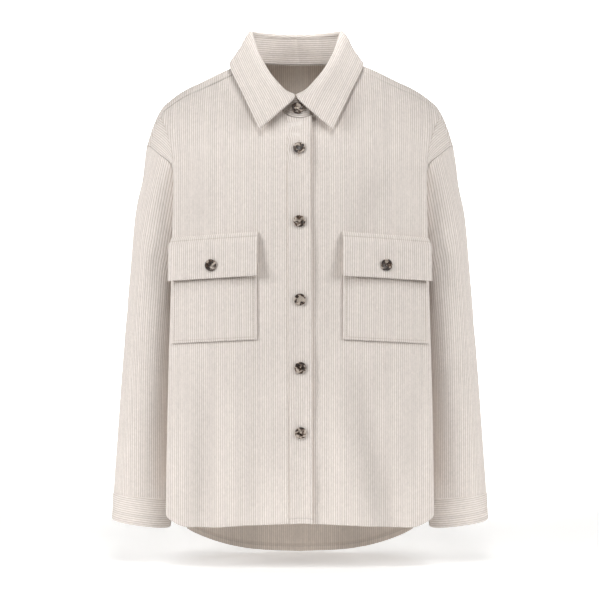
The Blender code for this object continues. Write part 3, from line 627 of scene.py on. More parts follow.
def add_node(tree, kind, values, **settings):
    """A node with its settings and its input values or links."""
    made = tree.nodes.new(kind)
    for key, value in settings.items():
        setattr(made, key, value)
    for key, value in values.items():
        if isinstance(value, bpy.types.NodeSocket):
            tree.links.new(value, made.inputs[key])
        else:
            made.inputs[key].default_value = value
    return made


def reckon(tree, operation, *values):
    """The result of a sum in a node tree."""
    return add_node(tree, "ShaderNodeMath", dict(enumerate(values)), operation=operation).outputs[0]


def new_tree(name, kind, inputs, outputs):
    """A node group with named inputs and outputs, and its two end nodes."""
    tree = bpy.data.node_groups.new(name, kind)
    for label, socket in inputs:
        tree.interface.new_socket(label, in_out="INPUT", socket_type="NodeSocket" + socket)
    for label, socket in outputs:
        tree.interface.new_socket(label, in_out="OUTPUT", socket_type="NodeSocket" + socket)
    return tree, tree.nodes.new("NodeGroupInput").outputs, tree.nodes.new("NodeGroupOutput").inputs


def mesh_value(tree, name, kind="FLOAT"):
    """A value that a mesh carries, read in a geometry tree."""
    node = add_node(tree, "GeometryNodeInputNamedAttribute", {"Name": name}, data_type=kind)
    return node.outputs["Attribute"]


def cloth_value(tree, name):
    """A value that the cloth carries, read in a material."""
    return add_node(tree, "ShaderNodeAttribute", {}, attribute_name=name).outputs["Fac"]


def noise(tree, place, scale, detail=2.0, roughness=0.5, distortion=0.0):
    """Noise at a place."""
    return add_node(tree, "ShaderNodeTexNoise", {
        "Vector": place, "Scale": scale, "Detail": detail, "Roughness": roughness,
        "Distortion": distortion}).outputs[0]


def mixed(tree, share, first, second):
    """Two colours mixed."""
    node = add_node(tree, "ShaderNodeMix", {"Factor": share, 6: first, 7: second}, data_type="RGBA")
    return node.outputs[2]


def wale_tree():
    """Raises the wales of a shell along its own directions and presses them down where it is stitched."""
    tree, given, made = new_tree(
        "raise wales", "GeometryNodeTree",
        (("Geometry", "Geometry"), ("Wale width", "Float"), ("Wale depth", "Float"),
         ("Groove depth", "Float"), ("Pile", "Material"), ("Wrong side", "Material")),
        (("Geometry", "Geometry"),))
    press = mesh_value(tree, "press")
    turn = reckon(tree, "FRACT", reckon(tree, "DIVIDE", mesh_value(tree, "across"), given["Wale width"]))
    bow = reckon(tree, "POWER", reckon(tree, "SINE", reckon(tree, "MULTIPLY", turn, math.pi)), WALE_ROUND)
    free = reckon(tree, "SUBTRACT", 1.0, press)
    raised = reckon(tree, "MULTIPLY", reckon(tree, "SUBTRACT", bow, WALE_MIDDLE), free)
    raised = reckon(tree, "MULTIPLY", raised, given["Wale depth"])
    total = reckon(tree, "SUBTRACT", raised, reckon(tree, "MULTIPLY", press, given["Groove depth"]))
    shift = add_node(tree, "ShaderNodeVectorMath", {
        0: mesh_value(tree, "out", "FLOAT_VECTOR"), "Scale": total}, operation="SCALE").outputs[0]
    moved = add_node(tree, "GeometryNodeSetPosition", {
        "Geometry": given["Geometry"], "Offset": shift}).outputs[0]
    pile = add_node(tree, "GeometryNodeSetMaterial", {
        "Geometry": moved, "Material": given["Pile"]}).outputs[0]
    both = add_node(tree, "GeometryNodeSetMaterial", {
        "Geometry": pile, "Selection": mesh_value(tree, "wrong_side", "BOOLEAN"),
        "Material": given["Wrong side"]}).outputs[0]
    tree.links.new(both, made["Geometry"])
    return tree


def cloth_group():
    """Colour and fuzz of corduroy: a dark ground between the wales, the weave with painted shade, each wale
    a little its own, streaks of pile, and painted shade in dents and folds.
    """
    tree, given, made = new_tree(
        "corduroy", "ShaderNodeTree",
        (("Wale width", "Float"), ("Pile", "Color"), ("Ground", "Color"), ("Ground share", "Float"),
         ("Variation", "Float")),
        (("Color", "Color"), ("Height", "Float")))
    across, grain = cloth_value(tree, "across"), cloth_value(tree, "grain")
    object_place = add_node(tree, "ShaderNodeTexCoord", {}).outputs["Object"]
    wale = reckon(tree, "DIVIDE", across, given["Wale width"])
    number = reckon(tree, "FLOOR", wale)
    bow = reckon(tree, "SINE", reckon(tree, "MULTIPLY", reckon(tree, "FRACT", wale), math.pi))
    between = reckon(tree, "POWER", reckon(tree, "SUBTRACT", 1.0, bow), GROUND_SHADE_NARROWNESS)
    own = add_node(tree, "ShaderNodeTexWhiteNoise", {"W": number}, noise_dimensions="1D").outputs[0]
    # Places for fine streaks in the pile, and for slower changes along each wale.
    places = []
    for first, first_scale, second_scale in ((across, 1400.0, 260.0), (number, 7.3, 110.0)):
        places.append(add_node(tree, "ShaderNodeCombineXYZ", {
            0: reckon(tree, "MULTIPLY", first, first_scale),
            1: reckon(tree, "MULTIPLY", grain, second_scale)}).outputs[0])
    streak = noise(tree, places[0], 1.0, 3.0, 0.6)
    lengthwise = noise(tree, places[1], 1.0, 2.0, 0.6)
    fuzz = noise(tree, object_place, 2400.0, 2.0, 0.7)
    cloud = noise(tree, object_place, 9.0)
    uneven = 0.0
    for value, strength in ((own, 0.07), (lengthwise, 0.22), (streak, 0.30), (fuzz, 0.12), (cloud, 0.06)):
        uneven = reckon(tree, "MULTIPLY_ADD", reckon(tree, "SUBTRACT", value, 0.5), strength, uneven)
    shade = reckon(tree, "ADD", 1.0, reckon(tree, "MULTIPLY", uneven, given["Variation"]))
    # Painted shade: the colour darkens in dents and at the bottoms of folds, and lightens on ridges.
    for name, darker in (("press", DENT_PAINTED_SHADE), ("nap", FOLD_PAINTED_SHADE)):
        left = reckon(tree, "SUBTRACT", 1.0, reckon(tree, "MULTIPLY", cloth_value(tree, name), darker))
        shade = reckon(tree, "MULTIPLY", shade, left)
    # The ground between the wales is the weave, darkened further by painted shade in the valley.
    ground_and_shade = reckon(tree, "MULTIPLY", between, given["Ground share"])
    mix = mixed(tree, ground_and_shade, given["Pile"], given["Ground"])
    colour = add_node(tree, "ShaderNodeVectorMath", {0: mix, "Scale": shade}, operation="SCALE").outputs[0]
    tree.links.new(colour, made["Color"])
    height = reckon(tree, "ADD", reckon(tree, "MULTIPLY", streak, 0.6), reckon(tree, "MULTIPLY", fuzz, 0.4))
    tree.links.new(height, made["Height"])
    return tree


CLOTH_GROUP = cloth_group()


def new_material(name, sockets):
    """A material with nodes, its tree and its surface, with values set on the surface's own sockets."""
    made = bpy.data.materials.new(name)
    made.use_nodes = True
    surface = made.node_tree.nodes["Principled BSDF"]
    for label, value in sockets.items():
        surface.inputs[label].default_value = value
    return made, made.node_tree, surface


def roughen(tree, surface, height, strength, distance):
    """Gives a surface a bump."""
    bump = add_node(tree, "ShaderNodeBump", {"Height": height, "Strength": strength, "Distance": distance})
    tree.links.new(bump.outputs[0], surface.inputs["Normal"])


def cloth_material(name, pile, ground_and_shade, ground_and_shade_share, variation, sheen):
    """Matt corduroy with a soft sheen, its fuzz as a bump."""
    made, tree, surface = new_material(name, {
        "Roughness": 0.95, "Specular IOR Level": 0.15, "Sheen Weight": sheen, "Sheen Roughness": 0.55,
        "Sheen Tint": (1.0, 0.96, 0.92, 1)})
    group = add_node(tree, "ShaderNodeGroup", {}, node_tree=CLOTH_GROUP)
    for label, value in (("Wale width", WALE_WIDTH), ("Pile", (*pile, 1)), ("Ground", (*ground_and_shade, 1)),
                         ("Ground share", ground_and_shade_share), ("Variation", variation)):
        group.inputs[label].default_value = value
    tree.links.new(group.outputs["Color"], surface.inputs["Base Color"])
    roughen(tree, surface, group.outputs["Height"], 0.35, 0.0004)
    return made


# Each cloth has its pile colour and a darker ground colour: the weave with painted shade in the valleys.
PILE = cloth_material("corduroy pile", (0.785, 0.733, 0.694), (0.430, 0.350, 0.285), 0.78, 1.1, 0.16)
# The wrong side is paler: partly the plain back of the cloth, partly painted light for the shaded inside of
# the shirt.
LIGHTENED_WRONG_SIDE = cloth_material(
    "corduroy wrong side", (0.870, 0.790, 0.718), (0.640, 0.556, 0.480), 0.9, 1.0, 0.0)
WALES = wale_tree()


def set_input(modifier, label, value):
    """Sets a modifier's input that carries a label."""
    for item in modifier.node_group.interface.items_tree:
        if item.item_type == "SOCKET" and item.in_out == "INPUT" and item.name == label:
            modifier[item.identifier] = value


def worked_in(made):
    """Turns an object and its modifiers into a plain mesh."""
    graph = bpy.context.evaluated_depsgraph_get()
    before = made.data
    mesh = bpy.data.meshes.new_from_object(
        made.evaluated_get(graph), preserve_all_data_layers=True, depsgraph=graph)
    made.modifiers.clear()
    made.data = mesh
    bpy.data.meshes.remove(before)
    mesh.name = made.name


def worked_by(made, tree, inputs):
    """Runs a geometry tree on an object and keeps the result as a plain mesh."""
    modifier = made.modifiers.new(tree.name, "NODES")
    modifier.node_group = tree
    for label, value in inputs.items():
        set_input(modifier, label, value)
    worked_in(made)


def add_object(name, data):
    """A new object in the scene."""
    made = bpy.data.objects.new(name, data)
    bpy.context.collection.objects.link(made)
    return made


def keep_out(mesh, out):
    """Stores the outward direction at every point of a mesh."""
    stored = mesh.attributes.new("out", "FLOAT_VECTOR", "POINT")
    stored.data.foreach_set("vector", np.asarray(out, np.float32).ravel())


def corduroy(name, sheets, wall=WALL, lined=False):
    """A piece of corduroy made of one or more sheets, with its wales raised."""
    points, faces, wrong_side, cloth = [], [], [], []
    for sheet in sheets:
        values, sheet_faces, sheet_wrong = shell(sheet, wall, lined)
        count = sum(len(each) for each in points)
        points.append(values["points"])
        faces += [[corner + count for corner in each] for each in sheet_faces]
        wrong_side += sheet_wrong
        cloth.append(values)
    mesh = bpy.data.meshes.new(name + "_cloth")
    mesh.from_pydata(np.concatenate(points), [], faces)
    for key in ("across", "press", "grain", "nap"):
        values = np.concatenate([each[key] for each in cloth])
        mesh.attributes.new(key, "FLOAT", "POINT").data.foreach_set("value", values.astype(np.float32))
    keep_out(mesh, np.concatenate([each["out"] for each in cloth]))
    mesh.attributes.new("wrong_side", "BOOLEAN", "FACE").data.foreach_set("value", wrong_side)
    mesh.shade_smooth()
    made = add_object(name + "_cloth", mesh)
    worked_by(made, WALES, {
        "Wale width": WALE_WIDTH, "Wale depth": WALE_DEPTH, "Groove depth": GROOVE_DEPTH, "Pile": PILE,
        "Wrong side": LIGHTENED_WRONG_SIDE})
    for key in ("out", "wrong_side"):
        made.data.attributes.remove(made.data.attributes[key])
    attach(made, "root")
    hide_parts(name)
    return made


stitch_paths = []


def stitch_along(sheet, line, place):
    """Marks a stitched line across a sheet, between two distances across the cloth."""
    spots = np.arange(place[0], place[1], MARK_STEP)
    found = read_sheet(sheet, line, spots)
    stitch_paths.append((found["points"], found["out"]))


def stitch_down(sheet, first, last, place):
    """Marks a stitched line down a sheet, at one distance across the cloth for each of its lines."""
    spots = [read_sheet(sheet, line, np.array([place])) for line in range(first, last)]
    stitch_paths.append((np.concatenate([each["points"] for each in spots]),
                         np.concatenate([each["out"] for each in spots])))


back_left = body_half("back_left", 0.0)
back_right = body_half("back_right", 0.0)
other = columns(mirrored(back_right), slice(None, 0, -1))
other["cloth"] = -other["cloth"]
back_sheet = {key: np.concatenate([other[key], back_left[key]], axis=1) for key in back_left}
# Where the fronts start from the middle, since their tops are part of the back's strips.
FRONT_EDGE = 0.0130
FRONTS = {"right": FRONT_EDGE + SEAM_GAP / 2, "left": -FRONT_EDGE + SEAM_GAP / 2}
# How many of the last rows before the shoulder seam the back covers on each side.
BROUGHT_FORWARD = {"right": 6, "left": 5}
front_halves = {side: body_half("front_" + side, start) for side, start in FRONTS.items()}
back_sheets = [back_sheet]
for side, count in BROUGHT_FORWARD.items():
    strip = lines(columns(front_halves[side], slice(NECK_STEPS, None)), slice(-count, None))
    from_edge = (SHOULDER_ROWS[-count:] - SHOULDER_ROWS[-count]) * SHOULDER_RISE
    strip["press"] = dent(from_edge, STRIP_DENT)[:, None] + 0 * strip["press"]
    back_sheets.append(mirrored(strip) if side == "right" else strip)
back = corduroy("back", back_sheets)
hem_line = nearest(HEM_ROWS, HEM_STITCH)
hem_cloth = back_sheet["cloth"][hem_line]
stitch_along(back_sheet, hem_line, (hem_cloth[0] + STITCH_MARGIN, hem_cloth[-1] - STITCH_MARGIN))

# The fronts are cut from the same corduroy, the wearer's right one lapping over the left. Above the
# chest each is folded back on itself beside the arm, so that the wales of the small turned part run
# down towards the fold.

# How far the fold stands out, over how many columns to each side, and how full it stays up its length.
FOLD_STANDS = 0.0032
FOLD_COLUMNS = 6
FOLD_FULLNESS = 0.7
TURNED_DENT = (0.7, 0.0018)
# How far the turned part lies under the front, by columns from the fold.
UNDER_FOLD = ((0, 1, 4), (1, 1, 0))
# Share of a row's height taken by the square step where a line ends early.
STEP_SHARE = 0.05


def cut_back(sheet, row, column):
    """A sheet whose lines above a row end at a column, with a square step there."""
    held = {key: values.copy() for key, values in sheet.items()}
    step = {key: values[row : row + 1].copy() for key, values in sheet.items()}
    step["points"] += (sheet["points"][row + 1] - sheet["points"][row]) * STEP_SHARE
    for key in held:
        held[key][row + 1 :, column + 1 :] = held[key][row + 1 :, column : column + 1]
        step[key][:, column + 1 :] = step[key][:, column : column + 1]
    return {key: np.concatenate([held[key][: row + 1], step[key], held[key][row + 1 :]]) for key in held}


for side, half in front_halves.items():
    covered = BROUGHT_FORWARD[side]
    main = {key: values.copy() for key, values in half.items()}
    at_fold = near(np.arange(main["points"].shape[1]) - FOLD_AT, FOLD_COLUMNS)
    up_fold = np.concatenate([np.zeros(CHEST_AT + 1), np.sin(np.pi * SHOULDER_ROWS) ** FOLD_FULLNESS])
    main["points"] += main["out"] * (FOLD_STANDS * np.outer(up_fold, at_fold))[..., None]
    to_edge = (SHOULDER_ROWS[-covered] - SHOULDER_ROWS) * SHOULDER_RISE
    on_shoulder = main["press"][CHEST_AT + 1 :, NECK_STEPS + 1 :]
    on_shoulder[:] = np.maximum(on_shoulder, dent(to_edge, SEAM_DENT)[:, None])
    main = cut_back(cut_back(main, CHEST_AT, FOLD_AT), len(half["points"]) - covered + 1, NECK_STEPS)
    turned = columns(lines(half, slice(CHEST_AT, 1 - covered)), slice(None, FOLD_AT - 2, -1))
    turned["cloth"] = runs(turned["points"])
    under = np.interp(np.arange(turned["points"].shape[1])[::-1], *UNDER_FOLD)[None, :, None]
    turned["points"] = turned["points"] - turned["out"] * under * LAID_ON
    turned["press"] = np.maximum(turned["press"], dent(turned["cloth"], TURNED_DENT))
    pieces = [main, turned]
    if side == "right":
        pieces = [mirrored(each) for each in pieces]
    front = corduroy("front_" + side, pieces)

# Each sleeve is one piece, closed by a seam under the arm and set into the armhole, with its wales
# running down it. The cuffs are doubled bands sewn round the ends with their wales going round.
DOUBLE_WALL = 0.0022
SEAM_ANGLE = 14.0
RING_POWER = 2.3
SLEEVE_LENGTH = 0.53
# How deep a sleeve goes under its cuff, from which share of the way down, and over how much of it.
CUFF_TUCK = 0.0026
TUCK_FROM, TUCK_OVER = 0.9965, 0.0030
# Dents at the armhole, its width as a share of the way down the sleeve, and at the cuff's seam.
CAP_DENT = (0.7, 0.0035)
CUFF_SEAM_DENT = (1.0, 0.0020)
# Rounding of an edge: how far it drops, over what width.
CUFF_EDGE = (0.0006, 0.0016)
# Place of the underarm in an armhole's loop of points.
LOOP_LOW = ARMHOLE_ROWS + len(SHOULDER_ROWS)
# Rings of a sleeve and a cuff: heights outside and inside, x outside and inside, y in front and behind.
SLEEVE_RINGS = (
    (-0.200, -0.318, 0.2450, 0.1695, -0.066, 0.086),
    (-0.300, -0.372, 0.2545, 0.1770, -0.066, 0.084),
    (-0.400, -0.442, 0.2632, 0.1830, -0.060, 0.080),
    (-0.520, -0.538, 0.2722, 0.1890, -0.050, 0.068),
    (-0.632, -0.640, 0.2797, 0.1925, -0.041, 0.056),
)
CUFF_RINGS = (
    (-0.6290, -0.6370, 0.2804, 0.1918, -0.0418, 0.0568),
    (-0.6500, -0.6600, 0.2812, 0.1925, -0.0405, 0.0555),
    (-0.6700, -0.6820, 0.2826, 0.1935, -0.0395, 0.0545),
)
SLEEVE_LINES = np.concatenate([
    [0, 0.0025, 0.005, 0.010], np.linspace(0.02, 0.98, 72), [0.99, 0.995, 0.9975, 1.0]])
CUFF_LINES = np.linspace(0, 1, 13)
# Soft hollows in the sleeves: share of the way down, share of the way round, spread of both, depth.
SLEEVE_HOLLOWS = {
    "right": ((0.10, 0.50, 0.05, 0.10, 0.0022), (0.46, 0.62, 0.03, 0.16, 0.0016),
              (0.56, 0.30, 0.04, 0.12, 0.0012)),
    "left": ((0.12, 0.46, 0.05, 0.10, 0.0020), (0.50, 0.60, 0.04, 0.15, 0.0016),
             (0.60, 0.28, 0.03, 0.12, 0.0010)),
}


def sleeve_rings(loop, rings):
    """Rings below an armhole, one point for each point of the armhole's loop."""
    run = lengths(np.concatenate([loop, loop[:1]]))
    to_low = run[LOOP_LOW]
    share = np.where(np.arange(len(loop)) <= LOOP_LOW, run[:-1] / to_low,
                     1 + (run[:-1] - to_low) / (run[-1] - to_low))
    seam = np.radians(SEAM_ANGLE)
    angle = np.where(share <= 1, seam + (np.pi - seam) * share, np.pi + (np.pi + seam) * (share - 1))
    x_share = np.sign(np.cos(angle)) * np.abs(np.cos(angle)) ** (2 / RING_POWER)
    y_share = np.sign(np.sin(angle)) * np.abs(np.sin(angle)) ** (2 / RING_POWER)
    made = []
    for outer_z, inner_z, outer_x, inner_x, front_y, back_y in rings:
        made.append(np.stack([
            (outer_x + inner_x) / 2 + (outer_x - inner_x) / 2 * x_share,
            (front_y + back_y) / 2 - (back_y - front_y) / 2 * y_share,
            (outer_z + inner_z) / 2 + (outer_z - inner_z) / 2 * x_share,
        ], 1))
    return np.array(made)


def through(rings, shares):
    """A grid through rings, at shares of the way along them."""
    steps = mean_run(rings)
    flat = rings.reshape(len(rings), -1)
    return smooth(steps, flat, np.asarray(shares) * steps[-1]).reshape(len(shares), -1, 3)


def outward_of_tube(grid):
    """Normals of a grid closed round its columns, pointing away from its middle."""
    out = normals_of(grid, closed=True)
    return out if np.mean(out[-1] * (grid[-1] - grid[-1].mean(0))) > 0 else -out


def round_angle(points, whole):
    """Angles round the arm of places on lines that start under it, as on its first whole ring."""
    low, high = points[whole].min(0), points[whole].max(0)
    middle, end = (low + high) / 2, (points[-1].min(0) + points[-1].max(0)) / 2
    lean = (end - middle) / (end - middle)[2]
    from_arm = (points - middle - lean * (points[..., 2:] - middle[2])) / (high - low)
    angle = np.unwrap(np.arctan2(from_arm[..., 1], from_arm[..., 0]), axis=1)
    return angle - 2 * np.pi * np.round((angle[:, :1] + np.pi) / (2 * np.pi))


def upright(grid, out, edge):
    """A sheet whose lines run up a grid's columns, so that its wales follow the grid's rows."""
    points, out = grid.transpose(1, 0, 2), out.transpose(1, 0, 2)
    cloth = runs(points)
    rounding = dent(np.minimum(cloth, cloth[:, -1:] - cloth), edge)
    return cloth_sheet(points - out * rounding[..., None], out, cloth, lengths(points[:, 0])[:, None])


back_halves = {"right": back_right, "left": back_left}
for side, half in front_halves.items():
    rear = back_halves[side]
    loop = np.concatenate([
        half["points"][: UNDERARM_AT - 1 : -1, -1], rear["points"][UNDERARM_AT + 1 : -1, -1]])
    opened = list(range(LOOP_LOW, -1, -1)) + list(range(len(loop) - 1, LOOP_LOW - 1, -1))
    rings = np.concatenate([loop[None], sleeve_rings(loop, SLEEVE_RINGS)])
    tube = through(rings, SLEEVE_LINES)
    tube_out = outward_of_tube(tube)
    points, out = tube[:, opened], tube_out[:, opened]
    ring_run = mean_run(rings)
    whole_round = int(np.argmax(SLEEVE_LINES >= ring_run[1] / ring_run[-1]))
    cloth = runs(points, 2)
    angle = round_angle(points, whole_round)
    for line in range(whole_round):
        cloth[line] = np.interp(angle[line], angle[whole_round], cloth[whole_round])
    round_share = cloth / cloth[:, -1:]
    down = SLEEVE_LINES[:, None]
    hollow = np.zeros_like(cloth)
    for from_top, round_tube, height, width, deep in SLEEVE_HOLLOWS[side]:
        from_middle = ((down - from_top) / height) ** 2 + ((round_share - round_tube) / width) ** 2
        hollow += deep * np.exp(-from_middle)
    tucked = CUFF_TUCK * np.clip((down - TUCK_FROM) / TUCK_OVER, 0, 1)
    points = points - out * (hollow + tucked)[..., None]
    to_seam = np.minimum(cloth, cloth[:, -1:] - cloth)
    press = np.maximum(dent(to_seam, SEAM_DENT), dent(down, CAP_DENT))
    # The sleeve's hollows get painted shade as well.
    sleeve_sheet = cloth_sheet(points, out, cloth - cloth[:, [LOOP_LOW]], down * SLEEVE_LENGTH, press,
                               nap=fold_shade_of(hollow))
    rings = through(sleeve_rings(loop, CUFF_RINGS), CUFF_LINES)
    rings_out = outward_of_tube(rings)
    cuff_sheet = upright(rings[::-1, opened], rings_out[::-1, opened], CUFF_EDGE)
    round_cuff = cuff_sheet["grain"]
    to_seam = np.minimum(round_cuff, round_cuff[-1] - round_cuff)
    cuff_sheet["press"] = dent(to_seam, CUFF_SEAM_DENT)
    if side == "right":
        sleeve_sheet, cuff_sheet = mirrored(sleeve_sheet), mirrored(cuff_sheet)
    sleeve = corduroy("sleeve_" + side, [sleeve_sheet])
    cuff = corduroy("cuff_" + side, [cuff_sheet], DOUBLE_WALL, lined=True)

# The collar is a stand sewn round the neck and a leaf that rolls over it, both of doubled corduroy.
# The stand's wales go round the neck, and the leaf's follow its outer edge down to the points.

# By place round the neck, 0 in front, 1 at the shoulder and 2 behind: the stand's height, the leaf's edge.
COLLAR_COLUMNS = ("round", "stand_height", "edge_x", "edge_y", "edge_z")
COLLAR = (
    (0.0, 0.0275, 0.0523, -0.1195, -0.0980),
    (0.5, 0.0415, 0.0770, -0.0850, -0.0450),
    (1.0, 0.042, 0.1010, -0.0130, 0.0105),
    (1.4, 0.041, 0.0890, 0.0480, 0.0155),
    (1.7, 0.040, 0.0560, 0.0850, 0.0140),
    (2.0, 0.040, 0.0000, 0.0930, 0.0140),
)
NECK_MIDDLE = (0.0, -0.010, 0.0)
STAND_LEAN = 0.10
COLLAR_SHIFT = -0.0055
LEAF_BOW = -0.0008
# Places on the leaf's roll: how far out and up from the stand's top edge.
LEAF_ROLL = ((-0.0019, 0.0004), (-0.0012, 0.0045), (0.0018, 0.0068), (0.0056, 0.0030))
PLACKET_WIDTH = 0.034
PLACKET_TOP_X = -0.0014
STAND_LINES = np.linspace(0, 1, 15)
# Columns of the stand: over the placket, round the right and round the left.
TOP_STEPS, RIGHT_STEPS, LEFT_STEPS = 13, 97, 105
LEAF_LINES = np.concatenate([np.linspace(0, 0.20, 17), np.linspace(0.20, 1, 33)[1:]])
STAND_EDGE = (0.0005, 0.0014)
LEAF_EDGE = (0.0007, 0.0014)
STAND_SEAM_DENT = (1.0, 0.0012)
STAND_STITCH = 0.0048
STAND_STITCH_DENT = (0.7, 0.0010)
# Rows of stitches inside the back of the stand: shares of its height, and where they start round the neck.
STAND_STITCHES = (0.035, 0.16)
STITCHED_FROM = 1.1


def neck_at(round_neck):
    """Places on half of the neck seam: 0 is the front, 1 the shoulder and 2 the back."""
    front = neck_point(NECK_FRONT, NECK_REACH * np.clip(round_neck, -1, 1))
    back = neck_point(NECK_BACK, NECK_REACH * np.clip(2 - round_neck, 0, 1))
    return np.where((round_neck <= 1)[:, None], front, back)


def stand_rise(base, round_neck, share):
    """Places on the collar stand, at a share of its height above places on the neck seam."""
    height = table(COLLAR_COLUMNS, COLLAR, "stand_height", np.clip(round_neck, 0, 2))
    outward = unit((base - NECK_MIDDLE) * (1, 1, 0))
    climb = unit(np.array([0, 0, 1]) - STAND_LEAN * outward)
    return base + climb * (height * share)[:, None] + (COLLAR_SHIFT * share, 0, 0)


top_end = (-PLACKET_WIDTH / 2 - PLACKET_TOP_X) / NECK_REACH
edge_share = FRONT_EDGE / NECK_REACH
round_right = np.concatenate([
    np.linspace(top_end, edge_share, TOP_STEPS)[:-1], np.linspace(edge_share, 2, RIGHT_STEPS)])
round_left = np.linspace(2, -edge_share, LEFT_STEPS)[1:]
stand_round = np.concatenate([round_right, round_left])
on_right = np.arange(len(stand_round)) < len(round_right)
stand_side = np.where(on_right[:, None], MIRROR, 1)
stand_base = neck_at(stand_round) * stand_side
stand_grid = np.array([stand_rise(stand_base, stand_round, share) for share in STAND_LINES])
stand_out = normals_of(stand_grid)
if stand_out[0, len(round_right), 1] < 0:
    stand_out = -stand_out
on_top = np.where(on_right, np.interp(stand_round, (0, edge_share), (1, 0)), 0)
stand_grid = stand_grid + stand_out * (LAID_ON * on_top)[None, :, None]
stand_sheet = upright(stand_grid, stand_out, STAND_EDGE)
up_stand = stand_sheet["cloth"]
stand_sheet["press"] = np.maximum(
    dent(up_stand, STAND_SEAM_DENT), dent(up_stand - STAND_STITCH, STAND_STITCH_DENT))
stand = corduroy("collar_stand", [stand_sheet], lined=True)
at_back = stand_round > STITCHED_FROM
for share in STAND_STITCHES:
    row = stand_rise(stand_base, stand_round, share) - stand_out[0] * WALL
    stitch_paths.append((row[at_back], -stand_out[0, at_back]))

past_middle = np.flatnonzero(stand_round >= 0)
on_stand = slice(past_middle[0], past_middle[-1] + 1)
leaf_round = np.clip(stand_round[on_stand], 0, 2)
leaf_top, leaf_outward = stand_grid[-1, on_stand], stand_out[-1, on_stand]
leaf_up = unit(stand_grid[-1] - stand_grid[-2])[on_stand]
leaf_edge = np.stack([table(COLLAR_COLUMNS, COLLAR, "edge_" + axis, leaf_round) for axis in "xyz"], 1)
leaf_edge = leaf_edge * stand_side[on_stand] + (COLLAR_SHIFT, 0, 0)
leaf_path = [leaf_top + leaf_outward * out + leaf_up * rise for out, rise in LEAF_ROLL]
leaf_path.append((leaf_path[-1] + leaf_edge) / 2 + (leaf_outward + leaf_up) * LEAF_BOW)
leaf_path.append(leaf_edge)
leaf_grid = through(np.array(leaf_path), LEAF_LINES)
leaf_out = normals_of(leaf_grid)
if leaf_out[-1, np.argmax(leaf_round), 1] < 0:
    leaf_out = -leaf_out
leaf_out[0] = -leaf_outward
leaf_sheet = upright(leaf_grid[::-1], leaf_out[::-1], LEAF_EDGE)
leaf = corduroy("collar_leaf", [leaf_sheet], DOUBLE_WALL, lined=True)

# The placket is a doubled strip stitched down the edge of the right front, over the left front's edge.
# Its stitched edge lies flat and its free edge stands a little off the cloth below.
PLACKET_HEM_X = 0.0019
PLACKET_BELOW_STAND = 0.0012
PLACKET_SPOTS = 23
PLACKET_MIDDLE = PLACKET_SPOTS // 2
PLACKET_EDGE = (0.0006, 0.0014)
PLACKET_STITCH = -0.0145
PLACKET_STITCH_DENT = (0.8, 0.0010)
PLACKET_HEM_DENT = (0.8, 0.0014)
# How far the free edge stands off, from where across and over how much, and its waves down the edge.
FREE_EDGE_LIFT = 0.0042
FREE_FROM, FREE_OVER = 0.006, 0.011
FREE_WAVE, FREE_WAVE_RATE = 0.25, 38
# Short creases across the placket below the stand: height of both ends, half width, depth.
PLACKET_CREASES = ((-0.0720, -0.0790, 0.0060, 0.0024), (-0.0900, -0.0850, 0.0055, 0.0020),
                   (-0.1010, -0.1070, 0.0065, 0.0018), (-0.1400, -0.1330, 0.0060, 0.0012))
# Where across the creases end, and over how much they fade out.
CREASE_END, CREASE_FADE = 0.010, 0.008
# Sideways waves of the stitched edge, and the heights over which they set in.
EDGE_WAVE, EDGE_WAVE_RATE = 0.0016, 260
EDGE_WAVE_FROM, EDGE_WAVE_OVER = -0.170, 0.060
PLACKET_BUTTONS_Z = (-0.1255, -0.2300, -0.3400, -0.4370, -0.5330)
BUTTONHOLE_WIDTH, BUTTONHOLE_LENGTH = 0.0016, 0.0235
BUTTONHOLE_SPOTS = 21
# Rows without stitches at the hem and below the stand.
PLAIN_AT_HEM, PLAIN_AT_TOP = 3, 2


def placket_surface(s):
    """The fronts' surface under the placket, from hem to neck, at places across it from its middle."""
    hem = table(HEM_COLUMNS, HEM, "front_z", np.abs(s) / plan_length("front", 1, UNDERARM_Z))
    heights = heights_up(hem, BODY_ROWS * 2, ARMHOLE_ROWS * 2)
    lean = (PLACKET_HEM_X - PLACKET_TOP_X) * (CHEST_Z - heights) / (CHEST_Z - hem)
    low = body_point("front", s + PLACKET_TOP_X + lean, heights)
    top_s = s + PLACKET_TOP_X
    top = neck_point(NECK_FRONT, top_s)
    upper = over_shoulder("front", top_s, top, np.abs(top_s) / NECK_REACH, SHOULDER_ROWS)
    return np.concatenate([low, upper])


placket_s = np.linspace(-PLACKET_WIDTH / 2, PLACKET_WIDTH / 2, PLACKET_SPOTS)
placket_grid = placket_surface(placket_s)
placket_out = normals_of(placket_grid)
placket_grid[-1] += unit(placket_grid[-2] - placket_grid[-1]) * PLACKET_BELOW_STAND
placket_cloth = np.repeat(placket_s[None], len(placket_grid), 0)
placket_rows = lengths(placket_grid[:, PLACKET_MIDDLE])[:, None] + 0 * placket_cloth
placket_z = placket_grid[..., 2]
edge_lift = FREE_EDGE_LIFT * np.clip((placket_cloth - FREE_FROM) / FREE_OVER, 0, 1) ** 2
edge_lift *= 1 - FREE_WAVE + FREE_WAVE * np.sin(placket_rows * FREE_WAVE_RATE)
edge_drop = dent(PLACKET_WIDTH / 2 - np.abs(placket_cloth), PLACKET_EDGE)
crumple = np.zeros_like(placket_cloth)
for left_z, right_z, half_width, deep in PLACKET_CREASES:
    crease_z = left_z + (right_z - left_z) * (placket_cloth / PLACKET_WIDTH + 0.5)
    fade = np.clip((CREASE_END - placket_cloth) / CREASE_FADE, 0, 1)
    crumple += deep * fade * np.exp(-(((placket_z - crease_z) / half_width) ** 2))
placket_points = placket_grid + placket_out * (LAID_ON + edge_lift - edge_drop - crumple)[..., None]
